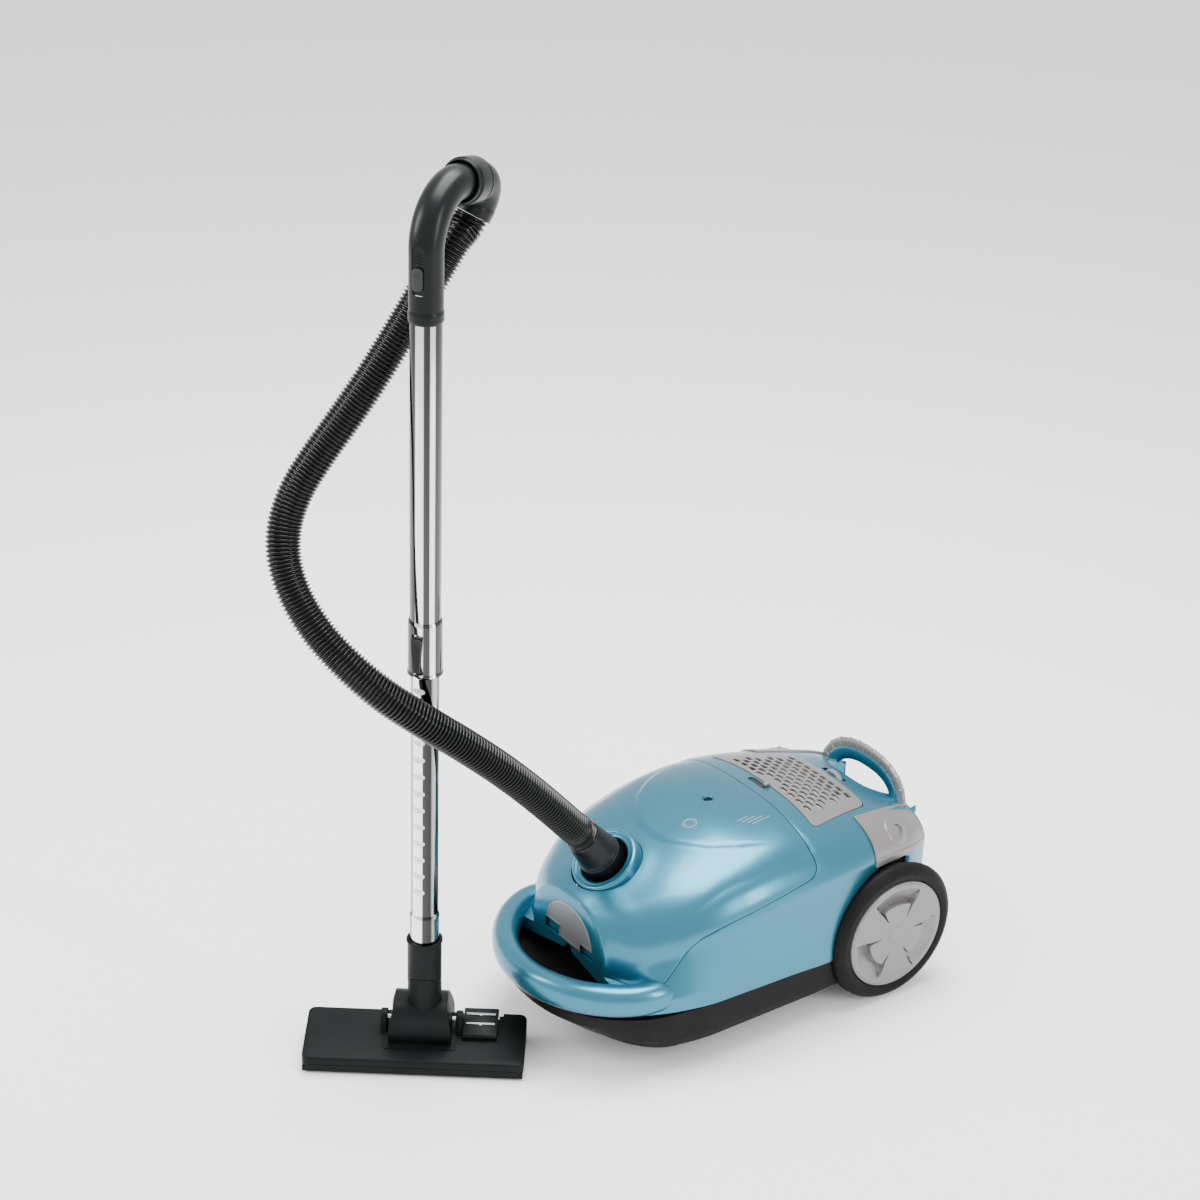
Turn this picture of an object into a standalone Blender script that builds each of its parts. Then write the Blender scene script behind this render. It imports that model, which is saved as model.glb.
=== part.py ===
"""Canister vacuum cleaner with a bagged canister, hose, telescopic wand and floor head.

Units are metres and +Z is up. The canister's front faces -Y and its left side is +X.
Every piece is modelled in the canister's own frame, whose origin is on the floor under
the canister's middle, and hangs from an empty that moves the whole machine so that the
scene's origin is the centre of its footprint.
"""

from math import cos, pi, radians, sin

import bmesh
import bpy
from mathutils import Matrix, Vector

# ---- placing -------------------------------------------------------------------
FOOTPRINT_SHIFT_Y = 0.1436  # canister frame to the machine's own frame
GAP = 0.0004  # running gap between neighbouring solids
SEAM = 0.0010  # visible seam between casing parts
WALL = 0.0028  # moulded wall thickness

# ---- canister casing ---------------------------------------------------------------
# y, half width at the waist, waist height, top height, half width of the skirt
STATIONS = (
    (-0.222, 0.072, 0.130, 0.190, 0.138),
    (-0.205, 0.096, 0.136, 0.201, 0.144),
    (-0.175, 0.120, 0.147, 0.214, 0.151),
    (-0.130, 0.141, 0.163, 0.233, 0.154),
    (-0.070, 0.151, 0.177, 0.250, 0.155),
    (0.000, 0.154, 0.185, 0.261, 0.154),
    (0.070, 0.152, 0.188, 0.255, 0.152),
    (0.130, 0.143, 0.186, 0.244, 0.143),
    (0.180, 0.131, 0.179, 0.233, 0.131),
    (0.215, 0.121, 0.174, 0.223, 0.121),
    (0.242, 0.108, 0.170, 0.211, 0.108),
)
SHOULDER_POWER = 2.5  # roundness of the section above the waist
ARC_STEPS = 8  # points on the rounded half of a section
BASE_BOTTOM_Z = 0.030
BASE_TOP_Z = 0.085
SKIRT_TOP_Z = 0.106
COVER_REAR_Y = 0.036
LID_HINGE = Vector((0.0, 0.037, 0.267))
GRILLE_HINGE = Vector((0.0, 0.1715, 0.2365))
LATCH_HINGE = Vector((0.0, -0.2225, 0.1750))
RECESS_HALF = 0.051  # hand space under the rear handle
RECESS_Y = 0.198
RECESS_FLOOR_Z = 0.188

PEDAL_MIDDLE = (0.1085, 0.185, 0.1990)

# ---- wheels ---------------------------------------------------------------------------
WHEEL_Y = 0.158
WHEEL_R = 0.092
HUB_R = 0.0715
WHEEL_INNER_X = 0.1315
WHEEL_OUTER_X = 0.1660
ARCH_R = 0.0965
ARCH_X = 0.1240
CASTER_Y = -0.165
CASTER_R = 0.0135
CASTER_TRAIL = 0.008

# ---- front inlet, latch and bumper handle ----------------------------------------------
INLET_CENTRE = Vector((0.0, -0.170, 0.2205))
INLET_AXIS = Vector((0.0, -0.60, 0.80)).normalized()
INLET_RING_R = 0.0437
INLET_HOLE_R = 0.0310
CUFF_R = 0.0262
HOSE_R = 0.0200
LATCH_W = 0.096
LATCH_H = 0.053
LATCH_Z = 0.1245
LATCH_FACE_Y = -0.2235
BUMPER_SIDE_X = 0.137
BUMPER_NOSE_Y = -0.287
BUMPER_Z = 0.1055

# ---- wand ---------------------------------------------------------------------------------
WAND_FOOT = Vector((-0.048, -0.396, 0.0))
WAND_YAW = radians(28.2)
LOWER_R = 0.0160
LOWER_BORE_R = 0.0148
SWAGE_R = 0.0173
SWAGE_TOP_Z = 0.203
LOWER_BOTTOM_Z = 0.130
LOWER_TOP_Z = 0.640
UPPER_R = 0.0178
UPPER_BORE_R = 0.0164
UPPER_BOTTOM_Z = 0.545
UPPER_TOP_Z = 0.975
SLEEVE_Z = (0.5200, 0.5875)
SLEEVE_R = 0.0196
GRIP_BOTTOM_Z = 0.9405
GRIP_R = 0.0186
GRIP_BEND_Z = 1.017
GRIP_BEND_R = 0.059
GRIP_TURN = radians(102.6)
COLLAR_R = 0.0262
COLLAR_LENGTH = 0.032
ELBOW_R = 0.0212
ELBOW_BEND_R = 0.0260
HOSE_START_DIRECTION = Vector((0.0, -0.550, -0.835)).normalized()

# ---- floor head -------------------------------------------------------------------------
HEAD_CENTRE = Vector((-0.0540, -0.4050, 0.0))
HEAD_YAW = radians(53.0)
HEAD_W = 0.264
HEAD_FRONT_Y = -0.046
HEAD_BACK_Y = 0.046
HEAD_FRONT_Z = 0.0225
HEAD_BACK_Z = 0.0340
BARREL_Y = 0.015
BARREL_Z = 0.0440
BARREL_R = 0.0340
BARREL_X = (-0.033, 0.047)
NECK_LEAN = radians(30.0)
NECK_JOINT_Z = 0.1080
SOCKET_TOP_Z = 0.167

MODE_AXIS_Y = 0.0200
MODE_AXIS_Z = 0.0285

# The hose's own route, from the cuff in the inlet to the swivel elbow behind the grip.
HOSE_ROUTE = (
    (0.004, -0.225, 0.290),
    (0.007, -0.252, 0.320),
    (0.008, -0.290, 0.361),
    (0.007, -0.331, 0.402),
    (0.002, -0.376, 0.443),
    (-0.009, -0.422, 0.482),
    (-0.029, -0.461, 0.516),
    (-0.055, -0.490, 0.549),
    (-0.085, -0.511, 0.583),
    (-0.112, -0.523, 0.619),
    (-0.132, -0.526, 0.657),
    (-0.142, -0.519, 0.695),
    (-0.143, -0.503, 0.732),
    (-0.138, -0.480, 0.768),
    (-0.131, -0.454, 0.804),
    (-0.124, -0.428, 0.841),
    (-0.119, -0.402, 0.879),
    (-0.116, -0.375, 0.918),
    (-0.114, -0.348, 0.957),
    (-0.113, -0.320, 0.995),
)


# =============================================================================
# Scene, materials and small tools
# =============================================================================
def clear_scene():
    for obj in list(bpy.data.objects):
        bpy.data.objects.remove(obj, do_unlink=True)


def new_collection(name):
    collection = bpy.data.collections.new(name)
    bpy.context.scene.collection.children.link(collection)
    return collection


clear_scene()
PARTS = new_collection("canister_vacuum_cleaner")
CUTTERS = new_collection("cutters")

COLOURS = {
    "blue": ((0.14, 0.39, 0.53), 0.30, 0.55),
    "silver": ((0.55, 0.54, 0.54), 0.40, 0.35),
    "black": ((0.028, 0.024, 0.026), 0.55, 0.0),
    "black_gloss": ((0.012, 0.018, 0.018), 0.35, 0.0),
    "rubber": ((0.020, 0.020, 0.020), 0.80, 0.0),
    "chrome": ((0.80, 0.80, 0.80), 0.08, 1.0),
    "steel": ((0.55, 0.55, 0.56), 0.30, 1.0),
    "grey": ((0.20, 0.20, 0.21), 0.60, 0.0),
    "white": ((0.78, 0.76, 0.72), 0.60, 0.0),
    "paper": ((0.70, 0.62, 0.48), 0.95, 0.0),
    "green": ((0.05, 0.25, 0.10), 0.60, 0.0),
    "clear": ((0.60, 0.20, 0.15), 0.15, 0.0),
}


def material_for(node, colour):
    rgb, roughness, metallic = COLOURS[colour]
    mat = bpy.data.materials.new(node + "_" + colour)
    mat.use_nodes = True
    shader = mat.node_tree.nodes["Principled BSDF"]
    shader.inputs["Base Color"].default_value = (*rgb, 1.0)
    shader.inputs["Roughness"].default_value = roughness
    shader.inputs["Metallic"].default_value = metallic
    return mat


def place(obj, colour, parent=None):
    """Puts a finished piece in the parts collection with a material of its own."""
    for collection in list(obj.users_collection):
        collection.objects.unlink(obj)
    PARTS.objects.link(obj)
    obj.data.materials.clear()
    obj.data.materials.append(material_for(obj.name, colour))
    if parent is not None:
        obj.parent = parent
        if parent is LID:
            obj.matrix_parent_inverse = Matrix.Translation(-LID.location)
    if isinstance(obj.data, bpy.types.Mesh):
        obj.data.shade_smooth()
        obj.data.set_sharp_from_angle(angle=radians(35.0))
    return obj


def object_from(name, bm):
    """Turns a bmesh into an object with its faces pointing out."""
    bmesh.ops.remove_doubles(bm, verts=bm.verts, dist=1e-6)
    bmesh.ops.recalc_face_normals(bm, faces=bm.faces)
    mesh = bpy.data.meshes.new(name)
    bm.to_mesh(mesh)
    bm.free()
    return bpy.data.objects.new(name, mesh)


def empty(name, location, rotation=None, parent=None):
    obj = bpy.data.objects.new(name, None)
    PARTS.objects.link(obj)
    obj.rotation_mode = "QUATERNION"
    obj.location = location
    if rotation is not None:
        obj.rotation_quaternion = rotation
    obj.parent = parent
    return obj


def hang(piece, name, location):
    """Hangs a piece, without moving it, from a new empty on its joint's axis.

    The location is in the canister's frame, or in the wand's or head's for their pieces.
    """
    obj = PARTS.objects[piece]
    pivot = empty(name, location, parent=obj.parent)
    if obj.parent is LID:
        pivot.matrix_parent_inverse = Matrix.Translation(-LID.location)
    obj.parent = pivot
    obj.matrix_parent_inverse = Matrix.Translation(-Vector(location))


def box(name, low, high, bevel=0.0):
    """A box between two corners."""
    bm = bmesh.new()
    bmesh.ops.create_cube(bm, size=1.0)
    low, high = Vector(low), Vector(high)
    size = high - low
    bmesh.ops.scale(bm, vec=size, verts=bm.verts)
    bmesh.ops.translate(bm, vec=(low + high) / 2, verts=bm.verts)
    obj = object_from(name, bm)
    if bevel:
        soften(obj, bevel, 1)
    return obj


def rod(name, start, end, radius, segments=24, radius_end=None):
    """A cylinder or cone from one point to another."""
    start, end = Vector(start), Vector(end)
    axis = end - start
    bm = bmesh.new()
    bmesh.ops.create_cone(
        bm,
        cap_ends=True,
        segments=segments,
        radius1=radius,
        radius2=radius if radius_end is None else radius_end,
        depth=axis.length,
    )
    turn = Vector((0, 0, 1)).rotation_difference(axis).to_matrix().to_4x4()
    bmesh.ops.transform(bm, matrix=Matrix.Translation((start + end) / 2) @ turn, verts=bm.verts)
    return object_from(name, bm)


def turned(name, profile, centre=(0, 0, 0), axis=(0, 0, 1), steps=32):
    """A turned piece: a closed (radius, height) profile and a Screw modifier.

    The profile runs down its outer side first. The result stands on centre with its
    own Z along axis.
    """
    bm = bmesh.new()
    points = [bm.verts.new((r, 0.0, z)) for r, z in profile]
    closed = min(r for r, _ in profile) > 1e-6
    for a, b in zip(points, points[1:]):
        bm.edges.new((a, b))
    if closed:
        bm.edges.new((points[-1], points[0]))
    mesh = bpy.data.meshes.new(name)
    bm.to_mesh(mesh)
    bm.free()
    obj = bpy.data.objects.new(name, mesh)
    obj.rotation_mode = "QUATERNION"
    obj.rotation_quaternion = Vector((0, 0, 1)).rotation_difference(Vector(axis))
    obj.location = centre
    screw = obj.modifiers.new("turn", "SCREW")
    screw.steps = steps
    screw.render_steps = steps
    screw.use_merge_vertices = True
    screw.merge_threshold = 0.00005
    return obj


def soften(obj, width, segments=1, angle=35.0):
    bevel = obj.modifiers.new("soften", "BEVEL")
    bevel.width = width
    bevel.segments = segments
    bevel.limit_method = "ANGLE"
    bevel.angle_limit = radians(angle)
    return obj


def cutter(obj, parent=None):
    """Files a solid as a cutting tool, out of sight."""
    CUTTERS.objects.link(obj)
    obj.hide_render = True
    obj.display_type = "WIRE"
    if parent is not None:
        obj.parent = parent
    return obj


def cut(obj, *tools, operation="DIFFERENCE", solver="EXACT"):
    for tool in tools:
        boolean = obj.modifiers.new(operation.lower(), "BOOLEAN")
        boolean.operation = operation
        boolean.solver = solver
        boolean.object = tool
    return obj


def loft(name, rings):
    """A closed solid through rings of equal length, capped at both ends."""
    bm = bmesh.new()
    rows = [[bm.verts.new(p) for p in ring] for ring in rings]
    count = len(rows[0])
    for lower, upper in zip(rows, rows[1:]):
        for i in range(count):
            j = (i + 1) % count
            bm.faces.new((lower[i], lower[j], upper[j], upper[i]))
    bm.faces.new(list(reversed(rows[0])))
    bm.faces.new(rows[-1])
    return object_from(name, bm)


def sweep(name, path, section, up=(0, 0, 1)):
    """A closed solid with a (side, up) section carried along a path."""
    rings = []
    for i, point in enumerate(path):
        ahead = Vector(path[min(i + 1, len(path) - 1)]) - Vector(path[max(i - 1, 0)])
        ahead.normalize()
        side = ahead.cross(Vector(up)).normalized()
        top = side.cross(ahead).normalized()
        rings.append([Vector(point) + side * u + top * v for u, v in section])
    return loft(name, rings)


def slab(name, outline, x_low, x_high):
    """A (y, z) outline given thickness along X."""
    return loft(name, [[(x, y, z) for y, z in outline] for x in (x_low, x_high)])


def plate(name, outline, z_low, z_high):
    """An (x, y) outline given thickness along Z."""
    return loft(name, [[(x, y, z) for x, y in outline] for z in (z_low, z_high)])


def oval(width, height, count=12):
    """A (side, up) section with rounded ends."""
    return [
        (0.5 * width * cos(2 * pi * i / count), 0.5 * height * sin(2 * pi * i / count))
        for i in range(count)
    ]


def smooth_path(points, step):
    """Points about one step apart along a smooth curve through the given ones."""
    points = [Vector(p) for p in points]
    ends = [2 * points[0] - points[1], *points, 2 * points[-1] - points[-2]]
    fine = []
    for a, b, c, d in zip(ends, ends[1:], ends[2:], ends[3:]):
        for k in range(12):
            t = k / 12
            fine.append(
                0.5
                * (
                    2 * b
                    + (c - a) * t
                    + (2 * a - 5 * b + 4 * c - d) * t * t
                    + (3 * b - a - 3 * c + d) * t**3
                )
            )
    fine.append(points[-1])
    lengths = [0.0]
    for a, b in zip(fine, fine[1:]):
        lengths.append(lengths[-1] + (b - a).length)
    count = max(2, round(lengths[-1] / step))
    result = []
    j = 0
    for i in range(count + 1):
        want = lengths[-1] * i / count
        while j < len(fine) - 2 and lengths[j + 1] < want:
            j += 1
        share = (want - lengths[j]) / max(lengths[j + 1] - lengths[j], 1e-9)
        result.append(fine[j].lerp(fine[j + 1], min(share, 1.0)))
    return result


def bar(name, path, radius, resolution=3):
    """A solid round bar along a path: a bevelled curve with filled caps."""
    curve = bpy.data.curves.new(name, "CURVE")
    curve.dimensions = "3D"
    curve.bevel_depth = radius
    curve.bevel_resolution = resolution
    curve.use_fill_caps = True
    spline = curve.splines.new("POLY")
    spline.points.add(len(path) - 1)
    for point, place_ in zip(spline.points, path):
        point.co = (*place_, 1.0)
    return bpy.data.objects.new(name, curve)


def hollow_bar(name, path, radius, wall, resolution=3):
    """A round pipe along a path: the bar's skin without caps, made solid."""
    obj = bar(name, path, radius, resolution)
    obj.data.use_fill_caps = False
    CUTTERS.objects.link(obj)
    bpy.context.view_layer.update()
    graph = bpy.context.evaluated_depsgraph_get()
    mesh = bpy.data.meshes.new_from_object(obj.evaluated_get(graph))
    bpy.data.objects.remove(obj, do_unlink=True)
    bm = bmesh.new()
    bm.from_mesh(mesh)
    bmesh.ops.remove_doubles(bm, verts=bm.verts, dist=1e-6)
    bmesh.ops.recalc_face_normals(bm, faces=bm.faces)
    bm.to_mesh(mesh)
    bm.free()
    pipe = bpy.data.objects.new(name, mesh)
    solid = pipe.modifiers.new("wall", "SOLIDIFY")
    solid.thickness = wall
    solid.offset = -1.0
    solid.use_even_offset = True
    return pipe


# =============================================================================
# The canister's shape
# =============================================================================
def station(y):
    """The casing's sizes at a place along its length, between the listed stations."""
    rows = STATIONS
    if y <= rows[0][0]:
        return rows[0][1:]
    for low, high in zip(rows, rows[1:]):
        if y <= high[0]:
            share = (y - low[0]) / (high[0] - low[0])
            return tuple(a + (b - a) * share for a, b in zip(low[1:], high[1:]))
    return rows[-1][1:]


def hull_section(y, inset=0.0):
    """The casing's closed (x, z) section at y, moved inwards by inset."""
    half, waist_z, top_z, skirt = station(y)
    half, skirt = half - inset, skirt - inset
    bottom, top_z = BASE_BOTTOM_Z + inset, top_z - inset
    right = [
        (skirt * 0.55, bottom),
        (skirt - 0.016, bottom + 0.003),
        (skirt - 0.003, 0.055),
        (skirt, BASE_TOP_Z),
        (skirt, SKIRT_TOP_Z),
    ]
    for i in range(ARC_STEPS + 1):
        t = 0.5 * pi * i / ARC_STEPS
        x = half * cos(t) ** (2 / SHOULDER_POWER) if i < ARC_STEPS else 0.0
        z = waist_z + (top_z - waist_z) * sin(t) ** (2 / SHOULDER_POWER)
        right.append((x, z))
    left = [(-x, z) for x, z in reversed(right[:-1])]
    return right + left


def hull_solid(name, inset=0.0):
    rings = []
    for row in STATIONS:
        y = min(max(row[0], STATIONS[0][0] + inset), STATIONS[-1][0] - inset)
        rings.append([(x, y, z) for x, z in hull_section(row[0], inset)])
    return loft(name, rings)


def top_height(x, y):
    """Height of the casing's upper skin above a point."""
    half, waist_z, top_z, _ = station(y)
    share = min(abs(x) / half, 0.999)
    return waist_z + (top_z - waist_z) * (1 - share**SHOULDER_POWER) ** (1 / SHOULDER_POWER)


def plan_outline(front_y, half, rear_y, rear_half, steps=10):
    """Half-round front, straight sides and a squarer rear, as (x, y) points."""
    shoulder_y = -0.150
    points = []
    for i in range(steps + 1):
        t = pi * i / steps
        points.append((half * cos(t), shoulder_y + (front_y - shoulder_y) * sin(t)))
    points.reverse()
    points.append((half, 0.06))
    points.append((half * 0.5 + rear_half * 0.5, 0.14))
    points.append((rear_half, rear_y - 0.02))
    points.append((rear_half - 0.02, rear_y))
    points.append((-rear_half + 0.02, rear_y))
    points.append((-rear_half, rear_y - 0.02))
    points.append((-half * 0.5 - rear_half * 0.5, 0.14))
    points.append((-half, 0.06))
    return points


COVER_SIDE_LINE = (  # (y, z) of the seam under the lid, from its front corner to its rear one
    (-0.260, 0.116),
    (-0.175, 0.118),
    (-0.158, 0.126),
    (-0.140, 0.152),
    (-0.115, 0.170),
    (-0.070, 0.186),
    (-0.020, 0.198),
    (0.020, 0.206),
    (0.032, 0.214),
    (COVER_REAR_Y, 0.226),
)


def cover_region(name, spread):
    """The space that the lid takes up, made larger by spread."""
    line = [(y, z - spread) for y, z in COVER_SIDE_LINE[:-2]]
    line += [(y + spread, z) for y, z in COVER_SIDE_LINE[-2:]]
    line += [(COVER_REAR_Y + spread, 0.300), (-0.260, 0.300)]
    return slab(name, line, -0.2, 0.2)


# =============================================================================
# Casing parts
# =============================================================================
def wheel_arches(name, radius):
    tools = []
    for side, label in ((1, "left"), (-1, "right")):
        start = (side * ARCH_X, WHEEL_Y, WHEEL_R)
        end = (side * 0.20, WHEEL_Y, WHEEL_R)
        tools.append(cutter(rod(name + "_" + label, start, end, radius, 32)))
    return tools


def rear_recess(name, spread):
    """The hand space under the rear carry handle."""
    half = RECESS_HALF + spread
    low = (-half, RECESS_Y - spread, RECESS_FLOOR_Z - spread)
    return box(name, low, (half, 0.300, 0.300))


def make_base_pan(arches):
    rings = (
        ((-0.236, 0.132, 0.222, 0.098), BASE_BOTTOM_Z),
        ((-0.250, 0.142, 0.230, 0.104), BASE_BOTTOM_Z + 0.008),
        ((-0.284, 0.153, 0.240, 0.108), 0.068),
        ((-0.290, 0.155, 0.242, 0.109), BASE_TOP_Z - SEAM),
    )
    outer = [[(x, y, z) for x, y in plan_outline(*sizes)] for sizes, z in rings]
    pan = loft("base_pan", outer)
    inner = []
    for (front, half, rear, rear_half), z in rings[:1] + rings[2:]:
        sizes = (max(front, -0.250) + 0.030, half - 0.004, rear - 0.004, rear_half - 0.004)
        inner.append([(x, y, z + WALL) for x, y in plan_outline(*sizes)])
    hollow = cutter(loft("base_pan_hollow", inner))
    caster_well = cutter(rod("caster_well", (0, CASTER_Y, 0.02), (0, CASTER_Y, 0.046), 0.026, 24))
    well_post = rod("caster_well_roof", (0, CASTER_Y, 0.0302), (0, CASTER_Y, 0.052), 0.030, 24)
    roof = cutter(well_post)
    cut(pan, hollow)
    cut(pan, roof, operation="UNION")
    cut(pan, caster_well, *arches)
    place(pan, "black")


def make_body_shell(hollow, arches):
    shell = hull_solid("body_shell")
    region = cutter(box("body_region", (-0.2, -0.3, BASE_TOP_Z + SEAM * 0.3), (0.2, 0.3, 0.3)))
    lid_space = cutter(cover_region("lid_space", SEAM))
    grille_hole = cutter(plate("grille_hole", grille_outline(0.0009), 0.18, 0.3))
    cut(shell, cutter(rear_recess("hand_space", 0.0)), hollow, solver="MANIFOLD")
    cut(shell, region, operation="INTERSECT", solver="MANIFOLD")
    cut(shell, lid_space, grille_hole, *arches, solver="MANIFOLD")
    pockets = []
    for side, label in ((1, "left"), (-1, "right")):
        pockets.append(cutter(pedal_solid("pedal_pocket_" + label, side, 0.0011, 0.0072, 0.030)))
    dial_slot = cutter(box("dial_slot", (-0.0205, 0.1765, 0.19), (0.0205, 0.1855, 0.26)))
    gland_hole = cutter(rod("gland_hole", (-0.05, 0.20, 0.115), (-0.05, 0.27, 0.115), 0.0085, 20))
    cut(shell, *pockets, dial_slot, gland_hole, solver="MANIFOLD")
    place(shell, "blue")


def make_top_cover(hollow):
    cover = hull_solid("top_cover")
    region = cutter(cover_region("lid_region", 0.0))
    front, back = INLET_CENTRE + INLET_AXIS * 0.03, INLET_CENTRE - INLET_AXIS * 0.05
    mouth = cutter(rod("inlet_mouth", back, front, INLET_RING_R + GAP, 32))
    sight = cutter(rod("indicator_hole", (0, -0.019, 0.24), (0, -0.019, 0.28), 0.0072, 16))
    pocket = cutter(latch_solid("latch_pocket", 0.0012, 0.0040))
    cut(cover, hollow, solver="MANIFOLD")
    cut(cover, region, operation="INTERSECT", solver="MANIFOLD")
    cut(cover, mouth, sight, pocket, solver="MANIFOLD")
    place(cover, "blue", LID)
    dome = [(0, 0.004), (0.0048, 0.0034), (0.0066, 0.0010), (0.0066, 0.0), (0, 0.0)]
    lens = turned("indicator_lens", dome, steps=16)
    lens.location = (0, -0.019, 0.2545)
    place(lens, "clear", LID)


def make_inlet():
    profile = [
        (INLET_HOLE_R + 0.0020, 0.0085),
        (INLET_RING_R - 0.0030, 0.0075),
        (INLET_RING_R, 0.0040),
        (INLET_RING_R, -0.0180),
        (INLET_RING_R - 0.0020, -0.0200),
        (INLET_HOLE_R, -0.0200),
        (INLET_HOLE_R, 0.0060),
    ]
    place(turned("inlet_ring", profile, INLET_CENTRE, INLET_AXIS, 32), "blue", LID)
    seal = [
        (INLET_HOLE_R - GAP, -0.010),
        (INLET_HOLE_R - GAP, -0.015),
        (CUFF_R + GAP, -0.015),
        (CUFF_R + GAP, -0.010),
    ]
    place(turned("inlet_seal", seal, INLET_CENTRE, INLET_AXIS, 24), "rubber", LID)
    cuff = [
        (CUFF_R - 0.0045, 0.0600),
        (CUFF_R - 0.0030, 0.0560),
        (CUFF_R - 0.0005, 0.0240),
        (CUFF_R + 0.0010, 0.0225),
        (CUFF_R + 0.0010, 0.0190),
        (CUFF_R, 0.0180),
        (CUFF_R, -0.0300),
        (CUFF_R - 0.0025, -0.0300),
        (CUFF_R - 0.0025, 0.0480),
        (0.0180, 0.0500),
        (0.0180, 0.0600),
    ]
    place(turned("hose_cuff", cuff, INLET_CENTRE, INLET_AXIS, 24), "black_gloss", LID)


def latch_solid(name, spread, depth):
    """The latch's half-round plate, standing on its straight edge, facing forwards."""
    half, height = LATCH_W / 2 + spread, LATCH_H + spread
    outline = [(-half, LATCH_Z - spread), (half, LATCH_Z - spread)]
    for i in range(1, 12):
        t = pi * i / 12
        outline.append((half * cos(t), LATCH_Z + height * sin(t) ** 0.8))
    rings = []
    for y in (LATCH_FACE_Y - 0.004, LATCH_FACE_Y + depth):
        rings.append([(x, y, z) for x, z in outline])
    return loft(name, rings)


def make_latch():
    plate_ = latch_solid("lid_latch", 0.0, 0.0016)
    front = cutter(box("latch_front_trim", (-0.1, -0.25, 0.10), (0.1, LATCH_FACE_Y, 0.20)))
    step_low, step_high = (0.008, -0.25, LATCH_Z - 0.01), (0.1, -0.20, LATCH_Z + 0.008)
    step = cutter(box("latch_step", step_low, step_high))
    cut(plate_, front, step)
    place(plate_, "silver", LID)


def make_front_handle():
    """The bumper loop across the nose, which is also the front carry handle."""
    path = []
    for i in range(17):
        t = pi * i / 16
        y = -0.196 + (BUMPER_NOSE_Y + 0.196) * sin(t) ** 0.9
        path.append((BUMPER_SIDE_X * cos(t), y, BUMPER_Z))
    loop = sweep("front_carry_handle", path, oval(0.032, 0.039, 12))
    back = cutter(box("loop_back_trim", (-0.2, -0.2224, 0.05), (0.2, -0.15, 0.16)))
    under = cutter(box("loop_under_trim", (-0.2, -0.35, 0.05), (0.2, -0.15, BASE_TOP_Z + SEAM * 0.3)))
    cut(loop, back, under)
    place(loop, "blue")


def grille_outline(spread, steps=8):
    """(x, y) outline of the exhaust grille, made larger all round by spread."""
    front = [grille_point(i / steps, 0.0) for i in range(steps + 1)]
    back = [grille_point(1 - i / steps, 1.0) for i in range(steps + 1)]
    outline = []
    for x, y in front + back:
        wider = x + spread * max(-1.0, min(1.0, x / 0.05))
        outline.append((wider, y + (spread if y > 0.12 else -spread)))
    return outline


def skin_plate(name, outline_points, x_count, rows, thickness, lift):
    """A plate that follows the casing's upper skin between two edges.

    outline_points gives, for a row share v, the y and the half width there.
    """
    top, low = [], []
    for j in range(rows + 1):
        row_top, row_low = [], []
        for i in range(x_count + 1):
            x, y = outline_points(i / x_count, j / rows)
            z = top_height(x, y) + lift
            row_top.append((x, y, z))
            row_low.append((x, y, z - thickness))
        top.append(row_top)
        low.append(row_low)
    bm = bmesh.new()
    upper = [[bm.verts.new(p) for p in row] for row in top]
    lower = [[bm.verts.new(p) for p in row] for row in low]
    for j in range(rows):
        for i in range(x_count):
            bm.faces.new((upper[j][i], upper[j][i + 1], upper[j + 1][i + 1], upper[j + 1][i]))
            bm.faces.new((lower[j][i], lower[j + 1][i], lower[j + 1][i + 1], lower[j][i + 1]))
    for j in range(rows):
        bm.faces.new((upper[j][0], upper[j + 1][0], lower[j + 1][0], lower[j][0]))
        bm.faces.new((upper[j][-1], lower[j][-1], lower[j + 1][-1], upper[j + 1][-1]))
    for i in range(x_count):
        bm.faces.new((upper[0][i], lower[0][i], lower[0][i + 1], upper[0][i + 1]))
        bm.faces.new((upper[-1][i], upper[-1][i + 1], lower[-1][i + 1], lower[-1][i]))
    return object_from(name, bm)


def grille_point(u, v):
    """A point of the grille's plan, u across and v from front to back."""
    half = 0.104 + (0.077 - 0.104) * v
    x = half * (2 * u - 1)
    front = 0.064 + 0.006 * (1 - (2 * u - 1) ** 2)
    back = 0.167 + 0.004 * (1 - (2 * u - 1) ** 2)
    return x, front + (back - front) * v


def make_exhaust_grille():
    grille = skin_plate("exhaust_grille", grille_point, 8, 4, 0.0025, 0.0006)
    slots = []
    for row in range(4):
        y = 0.084 + 0.021 * row
        for column in range(-1, 2):
            x = 0.046 * column
            low, high = (x - 0.017, y - 0.0035, 0.18), (x + 0.017, y + 0.0035, 0.30)
            slots.append(box("grille_slot", low, high))
    tools = bpy.data.meshes.new("grille_slots")
    bm = bmesh.new()
    for slot in slots:
        bm.from_mesh(slot.data)
        bpy.data.objects.remove(slot, do_unlink=True)
    bm.to_mesh(tools)
    bm.free()
    cut(grille, cutter(bpy.data.objects.new("grille_slots", tools)))
    place(grille, "silver")


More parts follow.
